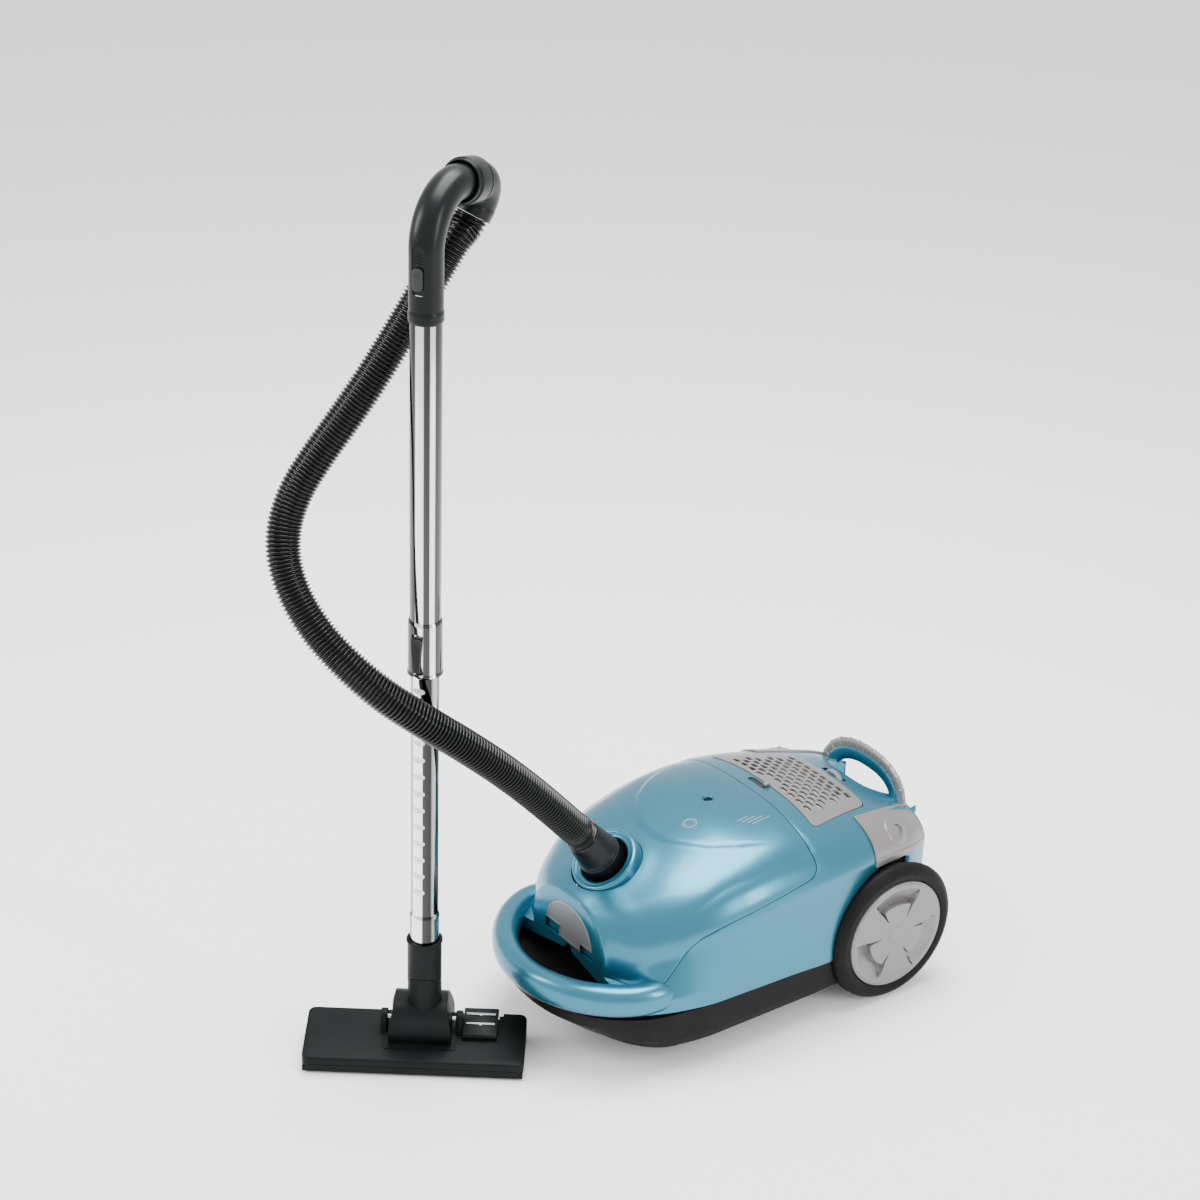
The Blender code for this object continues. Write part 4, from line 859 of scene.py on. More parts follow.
def make_inlet():
    """The inlet's ring on the lid and the hose cuff that turns in it."""
    place = aimed(INLET_CENTRE, INLET_AXIS)
    carve(
        COVER,
        tool(
            lathe([(0.0, -0.06), (RING_R + 0.0006, -0.06), (RING_R + 0.0006, 0.04), (0.0, 0.04)], 64), place
        ),
    )
    ring = rounded(
        [
            (HOLE_R, -0.0200),
            (RING_R - 0.0020, -0.0200),
            (RING_R, -0.0180),
            (RING_R, 0.0020),
            (RING_R - 0.0008, 0.0062),
            (RING_R - 0.0034, 0.0078),
            (RING_R - 0.0062, 0.0074),
            (RING_R - 0.0070, 0.0064),
            (HOLE_R + 0.0030, 0.0066),
            (HOLE_R + 0.0006, 0.0058),
            (HOLE_R, 0.0040),
        ],
        0.0009,
    )
    piece("inlet_surround", lathe(ring, 96), "lid", BLUE, ["inlet_ring"], matrix=place)
    cuff = rounded(
        [
            (0.0180, 0.0480),
            (CUFF_R - 0.0030, 0.0460),
            (CUFF_R - 0.0025, -0.0300),
            (CUFF_R, -0.0300),
            (CUFF_R, 0.0180),
            (CUFF_R + 0.0012, 0.0188),
            (CUFF_R + 0.0012, 0.0200),
            (CUFF_R + 0.0002, 0.0208),
            (CUFF_R + 0.0002, 0.0222),
            (CUFF_R + 0.0010, 0.0230),
            (CUFF_R + 0.0008, 0.0242),
            (CUFF_R - 0.0006, 0.0256),
            (CUFF_R - 0.0040, 0.0560),
            (CUFF_R - 0.0052, 0.0600),
            (0.0180, 0.0600),
        ],
        0.0006,
    )
    piece("cuff", lathe(cuff, 72), "cuff", BLACK_SMOOTH, ["hose_cuff"], matrix=place)


def half_round(half, base, height, steps=30, power=0.8):
    outline = [(-half, base), (half, base)]
    for i in range(1, steps):
        t = pi * i / steps
        outline.append((half * cos(t), base + height * sin(t) ** power))
    return outline


FACE_UP = Matrix(((1, 0, 0, 0), (0, 0, -1, 0), (0, 1, 0, 0), (0, 0, 0, 1)))  # (x, y, z) to (x, -z, y)


def make_latch():
    """A half-round plate with a raised rim and a stepped lower edge."""
    def plan(grow):
        return half_round(LATCH_HALF + grow, LATCH_Z - grow, LATCH_H + grow)

    pocket = prism(plan(0.0012), 0.2184, 0.2300)
    carve(COVER, tool(pocket, FACE_UP))
    face = prism(plan(0.0), 0.2188, 0.2228, 0.0005)
    latch = piece("latch_plate", face, "latch", SILVER, ["lid_latch"], matrix=FACE_UP)
    inner = half_round(LATCH_HALF - 0.0028, LATCH_Z + 0.0026, LATCH_H - 0.0056)
    carve(latch, tool(prism(inner, 0.2221, 0.2300), FACE_UP))
    backing = prism(plan(0.0030), 0.2148, 0.2178)
    piece("latch_backing", backing, "lid", BLUE, matrix=FACE_UP)
    front, back = -0.2227, -0.2188
    rims = []
    for sign, edge_x, rise in ((-1, *LATCH_STEP_LEFT), (1, *LATCH_STEP_RIGHT)):
        low, high = sorted((edge_x, sign * 0.060))
        top = LATCH_Z + rise
        carve(latch, tool(block((low, -0.235, LATCH_Z - 0.006), (high, -0.210, top), 0.0006)))
        low, high = sorted((edge_x - sign * 0.0022, sign * 0.0462))
        rims.append(block((low, front, top), (high, back, top + 0.0022), 0.0004))
        low, high = sorted((edge_x, edge_x - sign * 0.0022))
        rims.append(block((low, front, LATCH_Z + 0.0002), (high, back, top + 0.0022), 0.0004))
    piece("latch_rim_steps", joined(*rims), "latch", SILVER)


def make_indicator():
    """The full-bag indicator: a rim and a dark window in the lid."""
    centre = Vector((0, -0.019, skin_height(0, -0.019)))
    place = aimed(centre, skin_normal(0, -0.019))
    carve(COVER, tool(lathe([(0.0, -0.03), (0.0074, -0.03), (0.0074, 0.03), (0.0, 0.03)], 40), place))
    rim = rounded(
        [
            (0.0058, -0.0040), (0.0070, -0.0040), (0.0070, 0.0002), (0.0064, 0.0010), (0.0052, -0.0002),
            (0.0050, -0.0034),
        ],
        0.0004,
    )
    piece("indicator_rim", lathe(rim, 40), "lid", BLUE, matrix=place)
    lens = [(0.0, -0.0050), (0.0049, -0.0050), (0.0049, -0.0034), (0.0036, -0.0024), (0.0, -0.0020)]
    piece("indicator_window", lathe(lens, 32), "lid", LENS, ["indicator_lens"], matrix=place)


PRINT_LIFT = 0.00015
PRINT_RING = Vector((0.026, -0.066))


def print_strip(x, y, angle, length, width):
    """Rows of plan points, two to a row, along a thin printed bar."""
    along = Vector((cos(angle), sin(angle)))
    side = Vector((-along.y, along.x))
    rows = []
    steps = max(2, int(length / 0.002))
    for i in range(steps + 1):
        p = Vector((x, y)) + along * (length * (i / steps - 0.5))
        row = []
        for w in (-0.5, 0.5):
            q = p + side * (width * w)
            row.append((q.x, q.y))
        rows.append(row)
    return rows


def make_print():
    """A plain pattern of bars and a ring, where the real lid carries its printed words."""
    bm = bmesh.new()

    def lay(x, y):
        return bm.verts.new((x, y, surface_z(x, y) + PRINT_LIFT))

    for k in range(4):
        x, y = 0.070 - 0.004 * k, 0.0085 - 0.0065 * k
        rows = print_strip(x, y, pi / 2 + 0.1, 0.030 - 0.004 * k, 0.0007)
        grid_faces(bm, [[lay(*point) for point in row] for row in rows])
    for radius in (0.0060, 0.0082):
        rows = []
        for i in range(41):
            t = 2 * pi * i / 40
            row = []
            for r in (radius, radius + 0.0006):
                row.append(lay(PRINT_RING.x + r * cos(t), PRINT_RING.y + r * sin(t)))
            rows.append(row)
        grid_faces(bm, rows)
    bmesh.ops.recalc_face_normals(bm, faces=bm.faces)
    if sum(f.normal.z for f in bm.faces) < 0:
        bmesh.ops.reverse_faces(bm, faces=bm.faces)
    obj = piece("lid_print", bm, "lid", PALE_PRINT)
    modified(obj, ("SOLIDIFY", {"thickness": 0.0001, "offset": 1.0}))


def surface_z(x, y):
    """Height of the finished lid above a point of the plan."""
    above = COVER.matrix_world.inverted() @ Vector((x, y + SHIFT.y, 0.5))
    hit, place, _, _ = COVER.ray_cast(above, Vector((0, 0, -1)))
    return place.z if hit else skin_height(x, y)


make_inlet()
make_latch()
make_indicator()
make_print()


# =============================================================================
# Bumper, base, arches and the hand space
# =============================================================================
BUMPER_Z = 0.1055
BASE_TOP = 0.0846
WHEEL_Y = 0.158
WHEEL_R = 0.092
HUB_R = 0.0715
WHEEL_INNER_X = 0.1315
WHEEL_OUTER_X = 0.1660
ARCH_R = 0.0908
ARCH_X = 0.1240


def super_oval(a, b, power=2.0, count=32):
    """A closed (side, up) section; a higher power is squarer."""
    points = []
    for i in range(count):
        t = 2 * pi * i / count
        u = a * abs(cos(t)) ** (2 / power) * (1 if cos(t) >= 0 else -1)
        v = b * abs(sin(t)) ** (2 / power) * (1 if sin(t) >= 0 else -1)
        points.append((u, v))
    return points


def hull_tool(inset, low=0.02, first=-0.2222, last=0.2450):
    """The casing's whole outer form as one closed solid, moved inwards by inset."""
    bm = bmesh.new()
    rows = []
    for i in range(61):
        y = first + (last - first) * i / 60
        s = np.linspace(0.0, 1.0, 40)
        x, z = section(np.full(40, min(y, REAR_Y)), s)
        ring = [(max(a - inset, 0.0), y, b - inset) for a, b in zip(x, z)]
        ring = [(ring[0][0], y, low)] + ring
        mirrored = [(-a, b, c) for a, b, c in reversed(ring[:-1])]
        rows.append([bm.verts.new(p) for p in ring + mirrored])
    grid_faces(bm, rows, wrap=True)
    bm.faces.new(rows[0])
    bm.faces.new(list(reversed(rows[-1])))
    bmesh.ops.recalc_face_normals(bm, faces=bm.faces)
    return bm


def make_bumper():
    """The loop across the nose, whose ends swell and merge into the front corners."""
    path = []
    for i in range(12, 0, -1):
        share = i / 12
        path.append((0.126 + 0.0050 * share, -0.190 + 0.034 * share, BUMPER_Z - 0.0015 * share, share))
    for i in range(65):
        t = pi * i / 64
        path.append((0.126 * cos(t), -0.190 - 0.096 * sin(t) ** 1.25, BUMPER_Z, 0.0))
    path += [(-x, y, z, share) for x, y, z, share in reversed(path[:12])]

    def sections(i):
        share = path[i][3]
        size = sqrt(max(1 - share**2.6, 0.0004))
        lean = abs(path[i][0]) / 0.126
        return super_oval((0.0150 + 0.0020 * lean) * size, 0.0195 * size, 2.3, 36)

    loop = tube_along([p[:3] for p in path], sections)
    piece("bumper_loop", loop, "canister", BLUE, ["front_carry_handle"])


def base_outline(front, half_grow, rear):
    """(x, y) outline of the base: the skirt's own sides and a full, rounded nose."""
    right = []
    for y in np.linspace(rear, -0.155, 30):
        right.append((float(station(y)[3]) + half_grow, float(y)))
    corner = right[0]
    right[0] = (corner[0] - 0.012, corner[1])
    right.insert(1, (corner[0] - 0.003, corner[1] - 0.004))
    half = right[-1][0]
    nose = []
    for i in range(1, 48):
        t = pi * i / 48
        x = half * abs(cos(t)) ** 0.94 * (1 if cos(t) >= 0 else -1)
        nose.append((x, -0.155 + (front + 0.155) * sin(t) ** 1.06))
    return right + nose + [(-x, y) for x, y in reversed(right)]


def make_base():
    """The base pan, its ribs and the caster's well."""
    levels = (
        (0.0300, -0.222, -0.016, 0.222),
        (0.0325, -0.231, -0.011, 0.230),
        (0.0440, -0.240, -0.0050, 0.238),
        (0.0475, -0.254, -0.0040, 0.239),
        (0.0660, -0.279, -0.0022, 0.241),
        (0.0800, -0.2855, -0.0014, 0.242),
        (BASE_TOP, -0.2860, -0.0014, 0.242),
        (BASE_TOP, -0.2780, -0.0080, 0.236),
    )
    bm = bmesh.new()
    rows = []
    for z, front, grow, rear in levels:
        rows.append([bm.verts.new((x, y, z)) for x, y in base_outline(front, grow, rear)])
    grid_faces(bm, rows, wrap=True)
    bm.faces.new(list(reversed(rows[0])))
    bm.faces.new(rows[-1])
    bmesh.ops.recalc_face_normals(bm, faces=bm.faces)
    pan = piece("base_moulding", bm, "canister", BLACK_BASE, ["base_pan"], 24)
    caster_well = lathe([(0, 0.02), (0.026, 0.02), (0.026, 0.046), (0, 0.046)], 40)
    arches = arch_tools() + [tool(caster_well, Matrix.Translation((0, -0.165, 0)))]
    carve(pan, *arches, smooth=24)
    ribs = [
        block((x - 0.001, -0.21, 0.0285), (x + 0.001, 0.20, 0.0320)) for x in (-0.06, -0.02, 0.02, 0.06)
    ]
    ribs += [block((-0.09, y - 0.001, 0.0285), (0.09, y + 0.001, 0.0320)) for y in (-0.10, 0.0, 0.10)]
    piece("base_ribs", joined(*ribs), "canister", BLACK_BASE)


def arch_tools():
    """Cutting discs of the two wheel arches."""
    tools = []
    for side in (1, -1):
        solid = lathe([(0, 0), (ARCH_R, 0), (ARCH_R, 0.08), (0, 0.08)], 80)
        tools.append(tool(solid, aimed((side * ARCH_X, WHEEL_Y, WHEEL_R), (side, 0, 0))))
    return tools


def make_arches():
    """Wheel arches cut in the skin, with a dark liner inside each."""
    carve(SHELL, *arch_tools(), smooth=30)
    outer = ARCH_R + 0.0018
    wall = [(0, -0.004), (outer, -0.004), (outer, 0.05), (ARCH_R, 0.05), (ARCH_R, -0.0015), (0, -0.0015)]
    for side, label in ((1, "left"), (-1, "right")):
        place = aimed((side * ARCH_X, WHEEL_Y, WHEEL_R), (side, 0, 0))
        cup = lathe(wall, 80)
        liner = piece("arch_liner_" + label, cup, "canister", BLACK_BASE, matrix=place)
        carve(liner, tool(hull_tool(0.0012)), operation="INTERSECT")


def hand_plan(grow=0.0):
    """Plan of the hand space: a half round with a straight rear."""
    points = []
    for i in range(25):
        t = pi * i / 24
        x = (0.051 + grow) * abs(cos(t)) ** 0.62 * (1 if cos(t) >= 0 else -1)
        points.append((x, 0.240 - (0.042 + grow) * sin(t) ** 0.62))
    return points + [(-0.051 - grow, 0.262), (0.051 + grow, 0.262)]


def make_hand_space():
    """The space for the hand under the rear handle."""
    carve(SHELL, tool(prism(hand_plan(), 0.188, 0.30)), smooth=30)
    tray = piece("hand_space_liner", prism(hand_plan(0.002), 0.1855, 0.262), "canister", BLUE)
    carve(tray, tool(prism(hand_plan(), 0.188, 0.30)), smooth=30)
    carve(tray, tool(hull_tool(0.0004)), operation="INTERSECT", smooth=30)


# =============================================================================
# Exhaust grille, pedals, dial, rear handle and gland
# =============================================================================
def grille_edges(v):
    """The grille's half width at a share of its length."""
    return 0.104 + (0.077 - 0.104) * v


def grille_point(u, v):
    """A plan point of the grille at shares u across and v back."""
    half = grille_edges(v)
    bow = 1 - (2 * u - 1) ** 2
    front, back = 0.064 + 0.006 * bow, 0.167 + 0.004 * bow
    return half * (2 * u - 1), front + (back - front) * v


def rounded_plan(corners, radius, steps=8):
    """A polygon with each corner rounded."""
    points = []
    count = len(corners)
    for i, corner in enumerate(corners):
        p, a, b = Vector(corner), Vector(corners[i - 1]), Vector(corners[(i + 1) % count])
        reach = min(radius, (a - p).length * 0.45, (b - p).length * 0.45)
        start, end = p + (a - p).normalized() * reach, p + (b - p).normalized() * reach
        for k in range(steps + 1):
            t = k / steps
            q = start.lerp(p, t).lerp(p.lerp(end, t), t)
            points.append((q.x, q.y))
    return points


def grille_plan(grow):
    corners = []
    for k in range(5):
        corners.append(grille_point(k / 4, 0.0))
    for k in range(4, -1, -1):
        corners.append(grille_point(k / 4, 1.0))
    middle = Vector((0.0, 0.117))
    wider = []
    for x, y in corners:
        wider.append((x + grow * max(-1, min(1, x / 0.05)), y + (grow if y > middle.y else -grow)))
    return rounded_plan(wider, 0.0100)


def capsule(x, y, length, width, turn=0.0, steps=6):
    """An (x, y) outline with round ends, long along x before it is turned."""
    points = []
    straight = (length - width) / 2
    for end in (1, -1):
        for k in range(steps + 1):
            t = -pi / 2 + pi * k / steps
            points.append((end * (straight + width / 2 * cos(t)), end * width / 2 * sin(t)))
    return [(x + a * cos(turn) - b * sin(turn), y + a * sin(turn) + b * cos(turn)) for a, b in points]


def make_grille():
    """The exhaust grille: a plate on the casing's curve with rows of long holes."""
    carve(SHELL, tool(prism(grille_plan(0.0009), 0.18, 0.30)), smooth=30)
    bm = bmesh.new()
    rows = []
    for j in range(41):
        row = []
        for i in range(81):
            x, y = grille_point(-0.02 + 1.04 * i / 80, -0.03 + 1.06 * j / 40)
            row.append(bm.verts.new((x, y, skin_height(x, y) + 0.0008)))
        rows.append(row)
    grid_faces(bm, rows)
    bmesh.ops.recalc_face_normals(bm, faces=bm.faces)
    if sum(f.normal.z for f in bm.faces) < 0:
        bmesh.ops.reverse_faces(bm, faces=bm.faces)
    plate = piece("grille_plate", bm, "grille", SILVER, ["exhaust_grille"])
    modified(plate, ("SOLIDIFY", {"thickness": 0.0028, "offset": -1.0}))
    carve(plate, tool(prism(grille_plan(0.0), 0.17, 0.30)), operation="INTERSECT")
    holes = []
    rows_count = 9
    for r in range(rows_count):
        y = 0.0800 + 0.0096 * r
        v = (y - 0.066) / 0.103
        limit = grille_edges(v) - 0.0235
        offset = 0.0 if r % 2 else 0.5
        for c in range(-7, 8):
            x = (c + offset) * 0.0156
            if abs(x) > limit or (r == 0 and abs(x) < 0.022):
                continue
            holes.append(prism(capsule(x, y, 0.0124, 0.0066), 0.16, 0.32))
    carve(plate, tool(joined(*holes)), solver="MANIFOLD")
    eased(plate, 0.0005, 55)
    plate.data.set_sharp_from_angle(angle=radians(38))
    slot = capsule(-0.004, 0.0606, 0.032, 0.0100)
    carve(SHELL, tool(prism(slot, 0.235, 0.30)), smooth=30)
    # A dark cup under the finger slot: painted shade.
    cup = prism(capsule(-0.004, 0.0606, 0.036, 0.0135), 0.2455, 0.2540)
    piece("grille_finger_pocket", cup, "canister", SHADE_FILL)
    lug = block((0.0050, 0.0612, 0.2560), (0.0105, 0.0700, 0.2605), 0.0010)
    piece("grille_catch", lug, "grille", SILVER)


def pedal_patch(grow, lift, thickness, columns=26, rows=20, dome=None):
    """A closed plate lying on the rear shoulder, between two lines round the section."""
    bm = bmesh.new()
    layers = []
    for layer in (lift, lift - thickness):
        grid = []
        for j in range(rows + 1):
            v = j / rows
            line = []
            for i in range(columns + 1):
                u = i / columns
                y = 0.1330 - grow + (0.1055 + 2 * grow) * u
                top_s, low_s = 0.705 + 0.02 * u, 0.300
                s = top_s + (low_s - top_s) * v + (grow / 0.075) * (1 - 2 * v) * 0.6
                x, z = section(np.array(min(y, REAR_Y)), np.array(s))
                e = 0.004
                x2, z2 = section(np.array(min(y, REAR_Y)), np.array(s + e))
                normal = Vector((float(z2 - z), 0.0, float(x - x2))).normalized()
                extra = 0.0010 * step((v - 0.86) / 0.04) if layer > 0 else 0.0
                p = Vector((float(x), y, float(z)))
                if dome is not None and layer > 0:
                    q = (p - dome).length / 0.0180
                    extra += 0.0008 * step((1 - q) / 0.06) + 0.0026 * max(1 - q**2, 0.0)
                p += normal * (layer + extra)
                line.append(bm.verts.new(p))
            grid.append(line)
        layers.append(grid)
    upper, lower = layers
    grid_faces(bm, upper)
    grid_faces(bm, lower, flip=True)
    for k in range(rows):
        bm.faces.new((upper[k][0], upper[k + 1][0], lower[k + 1][0], lower[k][0]))
        bm.faces.new((upper[k][-1], lower[k][-1], lower[k + 1][-1], upper[k + 1][-1]))
    for k in range(columns):
        bm.faces.new((upper[0][k], lower[0][k], lower[0][k + 1], upper[0][k + 1]))
        bm.faces.new((upper[-1][k], upper[-1][k + 1], lower[-1][k + 1], lower[-1][k]))
    bmesh.ops.recalc_face_normals(bm, faces=bm.faces)
    return bm


def make_pedals():
    """The two pedals on the rear shoulders, each with a raised dome and a mark."""
    mirror = Matrix.Diagonal((-1, 1, 1, 1))
    for side, body, node in ((1, "power_pedal", "power_pedal"), (-1, "rewind_pedal", "cord_rewind_pedal")):
        turn = mirror if side < 0 else Matrix.Identity(4)
        hole = pedal_patch(0.0011, 0.012, 0.030)
        hole.transform(turn)
        bmesh.ops.recalc_face_normals(hole, faces=hole.faces)
        carve(SHELL, tool(hole), smooth=30)
        x, z = section(np.array(0.184), np.array(0.52))
        plate = pedal_patch(0.0, 0.0022, 0.0055, 104, 76, Vector((float(x), 0.184, float(z))))
        plate.transform(turn)
        bmesh.ops.recalc_face_normals(plate, faces=plate.faces)
        cap = piece(node + "_plate", plate, body, SILVER, [node], 34)
        eased(cap, 0.0007, 50)
        cap.data.set_sharp_from_angle(angle=radians(34))
        back = pedal_patch(0.003, -0.0085, 0.0020)
        back.transform(turn)
        bmesh.ops.recalc_face_normals(back, faces=back.faces)
        piece(node + "_shadow_pocket", back, "canister", SHADE_FILL)
        x2, z2 = section(np.array(0.184), np.array(0.53))
        normal = Vector((side * float(z2 - z), 0.0, float(x - x2))).normalized()
        centre = Vector((side * float(x), 0.184, float(z))) + normal * 0.0026
        place = aimed(centre, normal)
        mark = rounded([(0.0072, 0.0012), (0.0082, 0.0012), (0.0082, 0.0031), (0.0072, 0.0031)], 0.0002)
        ring = lathe(mark, 48)
        bar = block((-0.0007, -0.0055, 0.0012), (0.0007, 0.0055, 0.0035), 0.0003)
        bar.transform(Matrix.Rotation(0.6, 4, "Z"))
        piece(node + "_mark", joined(ring, bar), body, SILVER, matrix=place)


def make_dial():
    """The suction dial, a knurled wheel standing in a slot of the casing."""
    carve(SHELL, tool(block((-0.0205, 0.1765, 0.195), (0.0205, 0.1855, 0.27), 0.0012)), smooth=30)

    def knurl(r, z, angle):
        return (r - 0.0006 * (0.5 + 0.5 * cos(30 * angle)) if r > 0.0170 else r), z

    profile = rounded(
        [
            (0.0, -0.0034), (0.0180, -0.0034), (0.0192, -0.0022), (0.0192, 0.0022), (0.0180, 0.0034),
            (0.0, 0.0034),
        ],
        0.0006,
    )
    place = aimed((0, 0.181, 0.2190), (0, 1, 0))
    piece(
        "dial_wheel", lathe(profile, 240, radius_at=knurl), "dial", SILVER, ["suction_dial"], matrix=place
    )
    # A dark box inside the dial's slot: painted shade.
    pocket = block((-0.0225, 0.1750, 0.1960), (0.0225, 0.1870, 0.2140))
    piece("dial_pocket", pocket, "canister", SHADE_FILL)


def handle_arch(half, foot_z, top_z, steps):
    """Points of an arch from one foot to the other."""
    path = []
    for i in range(steps + 1):
        t = pi * i / steps
        rise = sin(t) ** 0.75
        x = half * (abs(cos(t)) ** 0.85) * (1 if cos(t) > 0 else -1)
        path.append((x, 0.2290 + 0.0080 * rise, foot_z + (top_z - foot_z) * rise))
    return path


def even_path(points, count):
    """The same path with evenly spaced points."""
    points = [Vector(p) for p in points]
    lengths = [0.0]
    for a, b in zip(points, points[1:]):
        lengths.append(lengths[-1] + (b - a).length)
    result = []
    j = 0
    for i in range(count + 1):
        want = lengths[-1] * i / count
        while j < len(points) - 2 and lengths[j + 1] < want:
            j += 1
        share = (want - lengths[j]) / max(lengths[j + 1] - lengths[j], 1e-9)
        result.append(points[j].lerp(points[j + 1], min(share, 1.0)))
    return result, lengths[-1]


def make_rear_handle():
    """A silver band with raised cross lines over a smooth blue liner."""
    path, length = even_path(handle_arch(0.0712, 0.190, 0.2445, 160), 220)

    def band(i):
        along = length * i / 220
        near = abs((along + 0.004) % 0.0150 - 0.0075)
        grow = 0.0009 * step(1 - near / 0.0014)
        return super_oval(0.0112 + grow, 0.0036 + grow, 3.2, 28)

    piece("rear_handle_band", tube_along(path, band, (0, 1, 0)), "canister", SILVER, ["carry_handle"])
    inner, _ = even_path(handle_arch(0.0640, 0.190, 0.2368, 160), 120)
    lining = tube_along(inner, super_oval(0.0098, 0.0048, 2.6, 24), (0, 1, 0))
    piece("rear_handle_liner", lining, "canister", BLUE, ["carry_handle_liner"])


def make_corner_blades():
    """The casing's thin corners, which rise beside the handle's feet."""
    for side, label in ((1, "left"), (-1, "right")):
        bm = bmesh.new()
        rows = []
        for k in range(25):
            u = k / 24
            y = 0.150 + 0.0985 * u
            middle = 0.0935 - 0.0115 * u
            wide = 0.0010 + 0.0075 * sin(pi * min(u * 1.02, 1.0)) ** 0.7 * (1 - 0.45 * u)
            base = skin_height(middle, min(y, 0.241))
            lift = 0.0002 + 0.0058 * u**1.5
            ring = []
            for a, h in ((-1.0, -0.6), (-0.9, 0.35), (-0.3, 1.0), (0.35, 0.85), (1.0, -0.6)):
                x = middle + wide * a
                ring.append((side * x, y, base + (lift * h if h > 0 else -0.003) - 0.0004 * abs(a)))
            rows.append([bm.verts.new(p) for p in ring])
        grid_faces(bm, rows, wrap=True)
        bm.faces.new(rows[0])
        bm.faces.new(list(reversed(rows[-1])))
        bmesh.ops.recalc_face_normals(bm, faces=bm.faces)
        piece("corner_blade_" + label, bm, "canister", BLUE, smooth=50)


def make_cord_gland():
    """The gland low in the rear face."""
    hole = lathe([(0, -0.05), (0.0085, -0.05), (0.0085, 0.03), (0, 0.03)], 32)
    carve(SHELL, tool(hole, aimed((-0.05, 0.2424, 0.115), (0, 1, 0))), smooth=30)
    profile = rounded(
        [
            (0.0042, -0.010), (0.0080, -0.010), (0.0080, 0.0030), (0.0125, 0.0034), (0.0125, 0.0060),
            (0.0100, 0.0115), (0.0052, 0.0118), (0.0042, 0.0100),
        ],
        0.0010,
    )
    place = aimed((-0.05, 0.2424, 0.115), (0, 1, 0))
    piece("gland_ring", lathe(profile, 48), "canister", BLACK, ["cord_gland"], matrix=place)


# =============================================================================
# Wheels
# =============================================================================
def hub_height(r, angle):
    """The hub's outer face: a disc, three swept hollows and a plain rim."""
    q = r / HUB_R
    h = -0.0010 * q**2
    h -= 0.0012 * step((q - 0.955) / 0.02)
    for k in range(3):
        middle = radians(92 + 120 * k)
        off = (angle - middle + pi) % (2 * pi) - pi
        inside = step((radians(35) - abs(off)) / radians(1.6))
        slope = np.clip((0.88 - q) / 0.27, 0, 1) ** 0.8
        hollow = slope * step((q - 0.595) / 0.018) * inside
        end = radians(34.0) - abs(off)
        notch_width = radians(6.5) * np.clip(1 - abs(q - 0.62) / 0.30, 0, 1)
        notch = 0.0
        if notch_width > 1e-3:
            notch = step(1 - abs(end - notch_width * 0.5) / max(notch_width * 0.5, 1e-4))
        h -= 0.0092 * max(hollow, 0.85 * notch)
    boss = step((0.165 - q) / 0.02)
    h += 0.0008 * boss - 0.0007 * exp(-(((q - 0.205) / 0.022) ** 2))
    return h


def make_wheels():
    """Both wheels: a rounded tyre and a hub with three swept hollows."""
    middle = 0.5 * (WHEEL_INNER_X + WHEEL_OUTER_X)
    inner, outer = WHEEL_INNER_X - middle, WHEEL_OUTER_X - middle
    for side, label in ((1, "left"), (-1, "right")):
        body = "wheel_" + label
        place = aimed((side * middle, WHEEL_Y, WHEEL_R), (side, 0, 0))
        tyre = rounded(
            [
                (HUB_R + 0.0004, inner),
                (WHEEL_R - 0.0110, inner),
                (WHEEL_R - 0.0050, inner + 0.0085),
                (WHEEL_R, outer - 0.0165),
                (WHEEL_R, outer - 0.0120),
                (WHEEL_R - 0.0030, outer - 0.0070),
                (WHEEL_R - 0.0100, outer - 0.0025),
                (HUB_R + 0.0030, outer - 0.0035),
                (HUB_R + 0.0004, outer - 0.0050),
            ],
            0.0050,
            6,
        )
        piece("tyre_" + label, lathe(tyre, 128), body, RUBBER, ["wheel_tyre_" + label], matrix=place)
        bm = bmesh.new()
        rows = []
        rings = [0.004, 0.008, *np.linspace(0.0105, 0.0175, 10), *np.linspace(0.020, 0.0405, 14)]
        rings += list(np.linspace(0.0415, 0.0650, 34)) + [0.0668, 0.0680, 0.0688, 0.0696, 0.0704, 0.0710]
        count = 300
        angles = [2 * pi * k / count for k in range(count)]
        top = bm.verts.new((0, 0, outer - 0.0010 + hub_height(0.0, 0.0)))
        for r in rings:
            row = []
            for angle in angles:
                seen = angle if side > 0 else pi - angle
                z = outer - 0.0010 + float(hub_height(r, seen))
                row.append(bm.verts.new((r * cos(angle), r * sin(angle), z)))
            rows.append(row)
        for r, z in (
            (HUB_R, outer - 0.0048), (HUB_R, inner + 0.001), (HUB_R - 0.004, inner + 0.001),
            (HUB_R - 0.004, outer - 0.011), (0.016, outer - 0.011), (0.016, inner + 0.001),
            (0.0055, inner + 0.001),
        ):
            rows.append([bm.verts.new((r * cos(angle), r * sin(angle), z)) for angle in angles])
        grid_faces(bm, rows, wrap=True)
        for k in range(count):
            bm.faces.new((top, rows[0][k], rows[0][(k + 1) % count]))
        bm.faces.new(list(reversed(rows[-1])))
        bmesh.ops.recalc_face_normals(bm, faces=bm.faces)
        spin = Matrix.Rotation(wheel_turn(place), 4, "Z")
        piece("hub_" + label, bm, body, HUB_SILVER, ["wheel_hub_" + label], 32, matrix=place @ spin)


def wheel_turn(place):
    """The turn about the wheel's axle that brings the pattern's own x axis to +Y."""
    local_x = place.to_3x3() @ Vector((1, 0, 0))
    local_y = place.to_3x3() @ Vector((0, 1, 0))
    forward = Vector((0, 1, 0))
    return atan2(forward.dot(local_y), forward.dot(local_x))


make_bumper()
make_base()
make_arches()
make_hand_space()
make_grille()
make_pedals()
make_dial()
make_rear_handle()
make_corner_blades()
make_cord_gland()
make_wheels()


